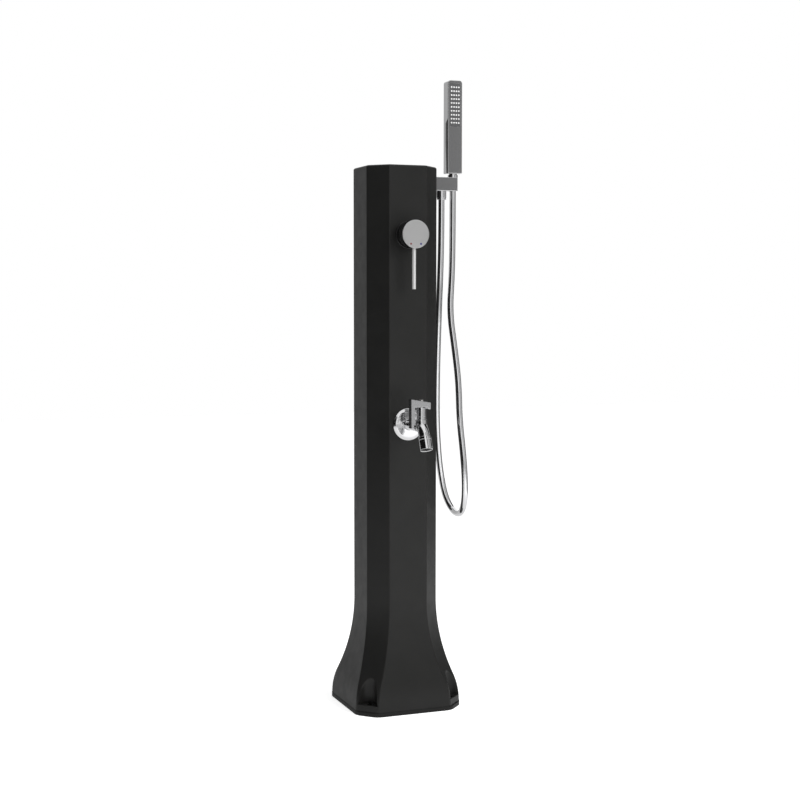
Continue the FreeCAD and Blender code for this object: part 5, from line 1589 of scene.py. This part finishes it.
@dataclass
class Studio:
    """Pale floor, soft light and a camera where the photographer stood."""

    azimuth: float = 20.8
    pitch: float = -3.9
    distance: float = 3.241
    height: float = 0.893
    focal_pixels: float = 1473.0
    image_pixels: float = 800.0
    centre_shift: float = 5.1
    sensor: float = 36.0
    floor_half: float = 8.0
    world_light: float = 0.45
    floor_glow: float = 0.62
    mirrored_glow: float = 0.05
    card_distance: float = 2.4
    lamp_aim: Point = (0, 0, 0.7)
    lamps: tuple[tuple[str, Point, Flat, float], ...] = (
        ("key", (1.6, -3.0, 2.4), (1.6, 2.2), 125), ("fill", (-2.8, -0.6, 2.0), (1.4, 2.2), 12))
    cards: tuple[tuple[str, float, float, float, float, float], ...] = (
        ("dark_left", -81, 7.1, -1.2, 4.8, 0.008), ("grey_front", 20, 0.9, 0.75, 3.2, 0.2),
        ("grey_low", 20, 1.0, 0.3, 0.75, 0.46), ("grey_right", 62, 1.9, -1.2, 4.8, 0.4),
        ("dark_right", 108, 1.9, -1.2, 4.8, 0.02), ("grey_rear", -160, 2.0, -1.2, 4.8, 0.48))

    def camera(self) -> None:
        """Place the camera."""
        turn, tilt = math.radians(self.azimuth), math.radians(self.pitch)
        data = bpy.data.cameras.new("camera")
        data.sensor_width = self.sensor
        data.lens = self.sensor * self.focal_pixels / self.image_pixels
        data.shift_x = self.centre_shift / self.image_pixels
        data.clip_end = 50
        item = bpy.data.objects.new("camera", data)
        item.location = (-self.distance * math.sin(turn), -self.distance * math.cos(turn), self.height)
        item.rotation_euler = (math.pi / 2 + tilt, 0, -turn)
        bpy.context.scene.collection.objects.link(item)
        bpy.context.scene.camera = item

    def floor(self) -> None:
        """A pale floor that shows white and keeps a soft shadow."""
        bm = bmesh.new()
        bmesh.ops.create_grid(bm, x_segments=2, y_segments=2, size=self.floor_half)
        item = plain_object("studio_floor", bm)
        board = Board("studio_floor")
        for name, value in (("Base Color", (0.93, 0.93, 0.93, 1)), ("Roughness", 0.9),
                            ("Specular IOR Level", 0.1)):
            board.shader.inputs[name].default_value = value
        rays = board.add("ShaderNodeLightPath").outputs
        shown = board.calculate("MULTIPLY", rays["Is Camera Ray"], self.floor_glow)
        strength = board.calculate("MULTIPLY_ADD", rays["Is Glossy Ray"], self.mirrored_glow, shown)
        glow = board.add("ShaderNodeEmission", {"Color": (1, 1, 1, 1), "Strength": strength})
        both = board.add("ShaderNodeAddShader")
        board.feed(both.inputs[0], board.shader.outputs[0])
        board.feed(both.inputs[1], glow.outputs[0])
        board.feed(board.tree.nodes["Material Output"].inputs["Surface"], both.outputs[0])
        item.data.materials.append(board.material)

    def world(self) -> None:
        """A white surround for what the camera and metal see, and plain light for the rest."""
        world = bpy.data.worlds.new("surround")
        bpy.context.scene.world = world
        world.use_nodes = True
        wires = Wiring(world.node_tree)
        wires.tree.nodes.clear()
        rays = wires.add("ShaderNodeLightPath").outputs
        seen = wires.calculate("MAXIMUM", rays["Is Camera Ray"], rays["Is Glossy Ray"])
        seen = wires.calculate("MAXIMUM", seen, rays["Is Transmission Ray"])
        mix = wires.add("ShaderNodeMixShader")
        wires.feed(mix.inputs[0], seen)
        for target, strength in ((1, self.world_light), (2, 1.0)):
            light = wires.add("ShaderNodeBackground", {"Color": (1, 1, 1, 1), "Strength": strength})
            wires.feed(mix.inputs[target], light.outputs[0])
        wires.add("ShaderNodeOutputWorld", {"Surface": mix.outputs[0]})

    def lamp(self, name: str, place: Point, size: Flat, power: float) -> None:
        """A soft lamp.

        Args:
            name: The lamp's name.
            place: Where it is.
            size: Width and height.
            power: Watts.
        """
        data = bpy.data.lights.new(name, "AREA")
        data.shape = "RECTANGLE"
        data.size, data.size_y = size
        data.energy = power
        item = bpy.data.objects.new(name, data)
        item.location = place
        item.rotation_mode = "QUATERNION"
        item.rotation_quaternion = (Vector(self.lamp_aim) - Vector(place)).to_track_quat("-Z", "Y")
        item.visible_camera = False
        item.visible_glossy = False
        bpy.context.scene.collection.objects.link(item)

    def card(self, name: str, azimuth: float, width: float, low: float, high: float, level: float) -> None:
        """A card round the object that only reflections see, which gives polished metal its contrast.

        Args:
            name: The card's name.
            azimuth: Its direction from the object, in degrees from the front.
            width: Its width.
            low: Height of its lower edge.
            high: Height of its upper edge.
            level: How bright it is, from black to white.
        """
        bm = bmesh.new()
        bmesh.ops.create_grid(bm, x_segments=1, y_segments=1, size=0.5)
        turn = Matrix.Rotation(math.radians(azimuth), 4, "Z") @ Matrix.Translation(
            (0, -self.card_distance, (low + high) / 2)) @ Matrix.Rotation(math.pi / 2, 4, "X")
        item = plain_object(name, bm, turn @ Matrix.Diagonal((width, high - low, 1, 1)))
        material = bpy.data.materials.new(name)
        material.use_nodes = True
        wires = Wiring(material.node_tree)
        wires.tree.nodes.clear()
        glow = wires.add("ShaderNodeEmission", {"Strength": level})
        wires.add("ShaderNodeOutputMaterial", {"Surface": glow.outputs[0]})
        item.data.materials.append(material)
        item.visible_camera = False
        item.visible_shadow = False
        item.visible_diffuse = False
        item.visible_transmission = False

    def build(self) -> None:
        """Set up light, floor and camera."""
        self.camera()
        self.floor()
        self.world()
        for lamp in self.lamps:
            self.lamp(*lamp)
        for card in self.cards:
            self.card(*card)
        bpy.context.scene.view_settings.view_transform = "Standard"


def dress_nodes() -> None:
    """Give every CAD node that stays its own finish."""
    slots = {row["node"]: row["material_slot"] for row in frame["record"]["subparts"]}
    for name, node in frame["nodes"].items():
        finish = SHOWN_NODES.get(name, SLOT_FINISHES[slots[name]])
        node.data.materials.clear()
        node.data.materials.append(finish.material())
        for face in node.data.polygons:
            face.material_index = 0
    log.info("dressed %d nodes", len(slots))


def main() -> None:
    """Build the scene in order."""
    studio = Studio()
    studio.build()
    dress_nodes()
    copies, tubes = NodeField("copies_on_points"), TubeTree("tube_on_line")
    steps: list[tuple[str, Callable[[], None]]] = [
        ("hose", lambda: Hose().build(tubes)),
        ("column", lambda: Column().build(copies)),
        ("mixer", lambda: Mixer().build()),
        ("foot tap", lambda: FootTap().build(copies)),
        ("outlet block", lambda: OutletBlock().build()),
        ("hand shower", lambda: HandShower().build(copies)),
    ]
    for name, step in steps:
        step()
        log.info("built the %s", name)


if __name__ == "__main__":
    main()
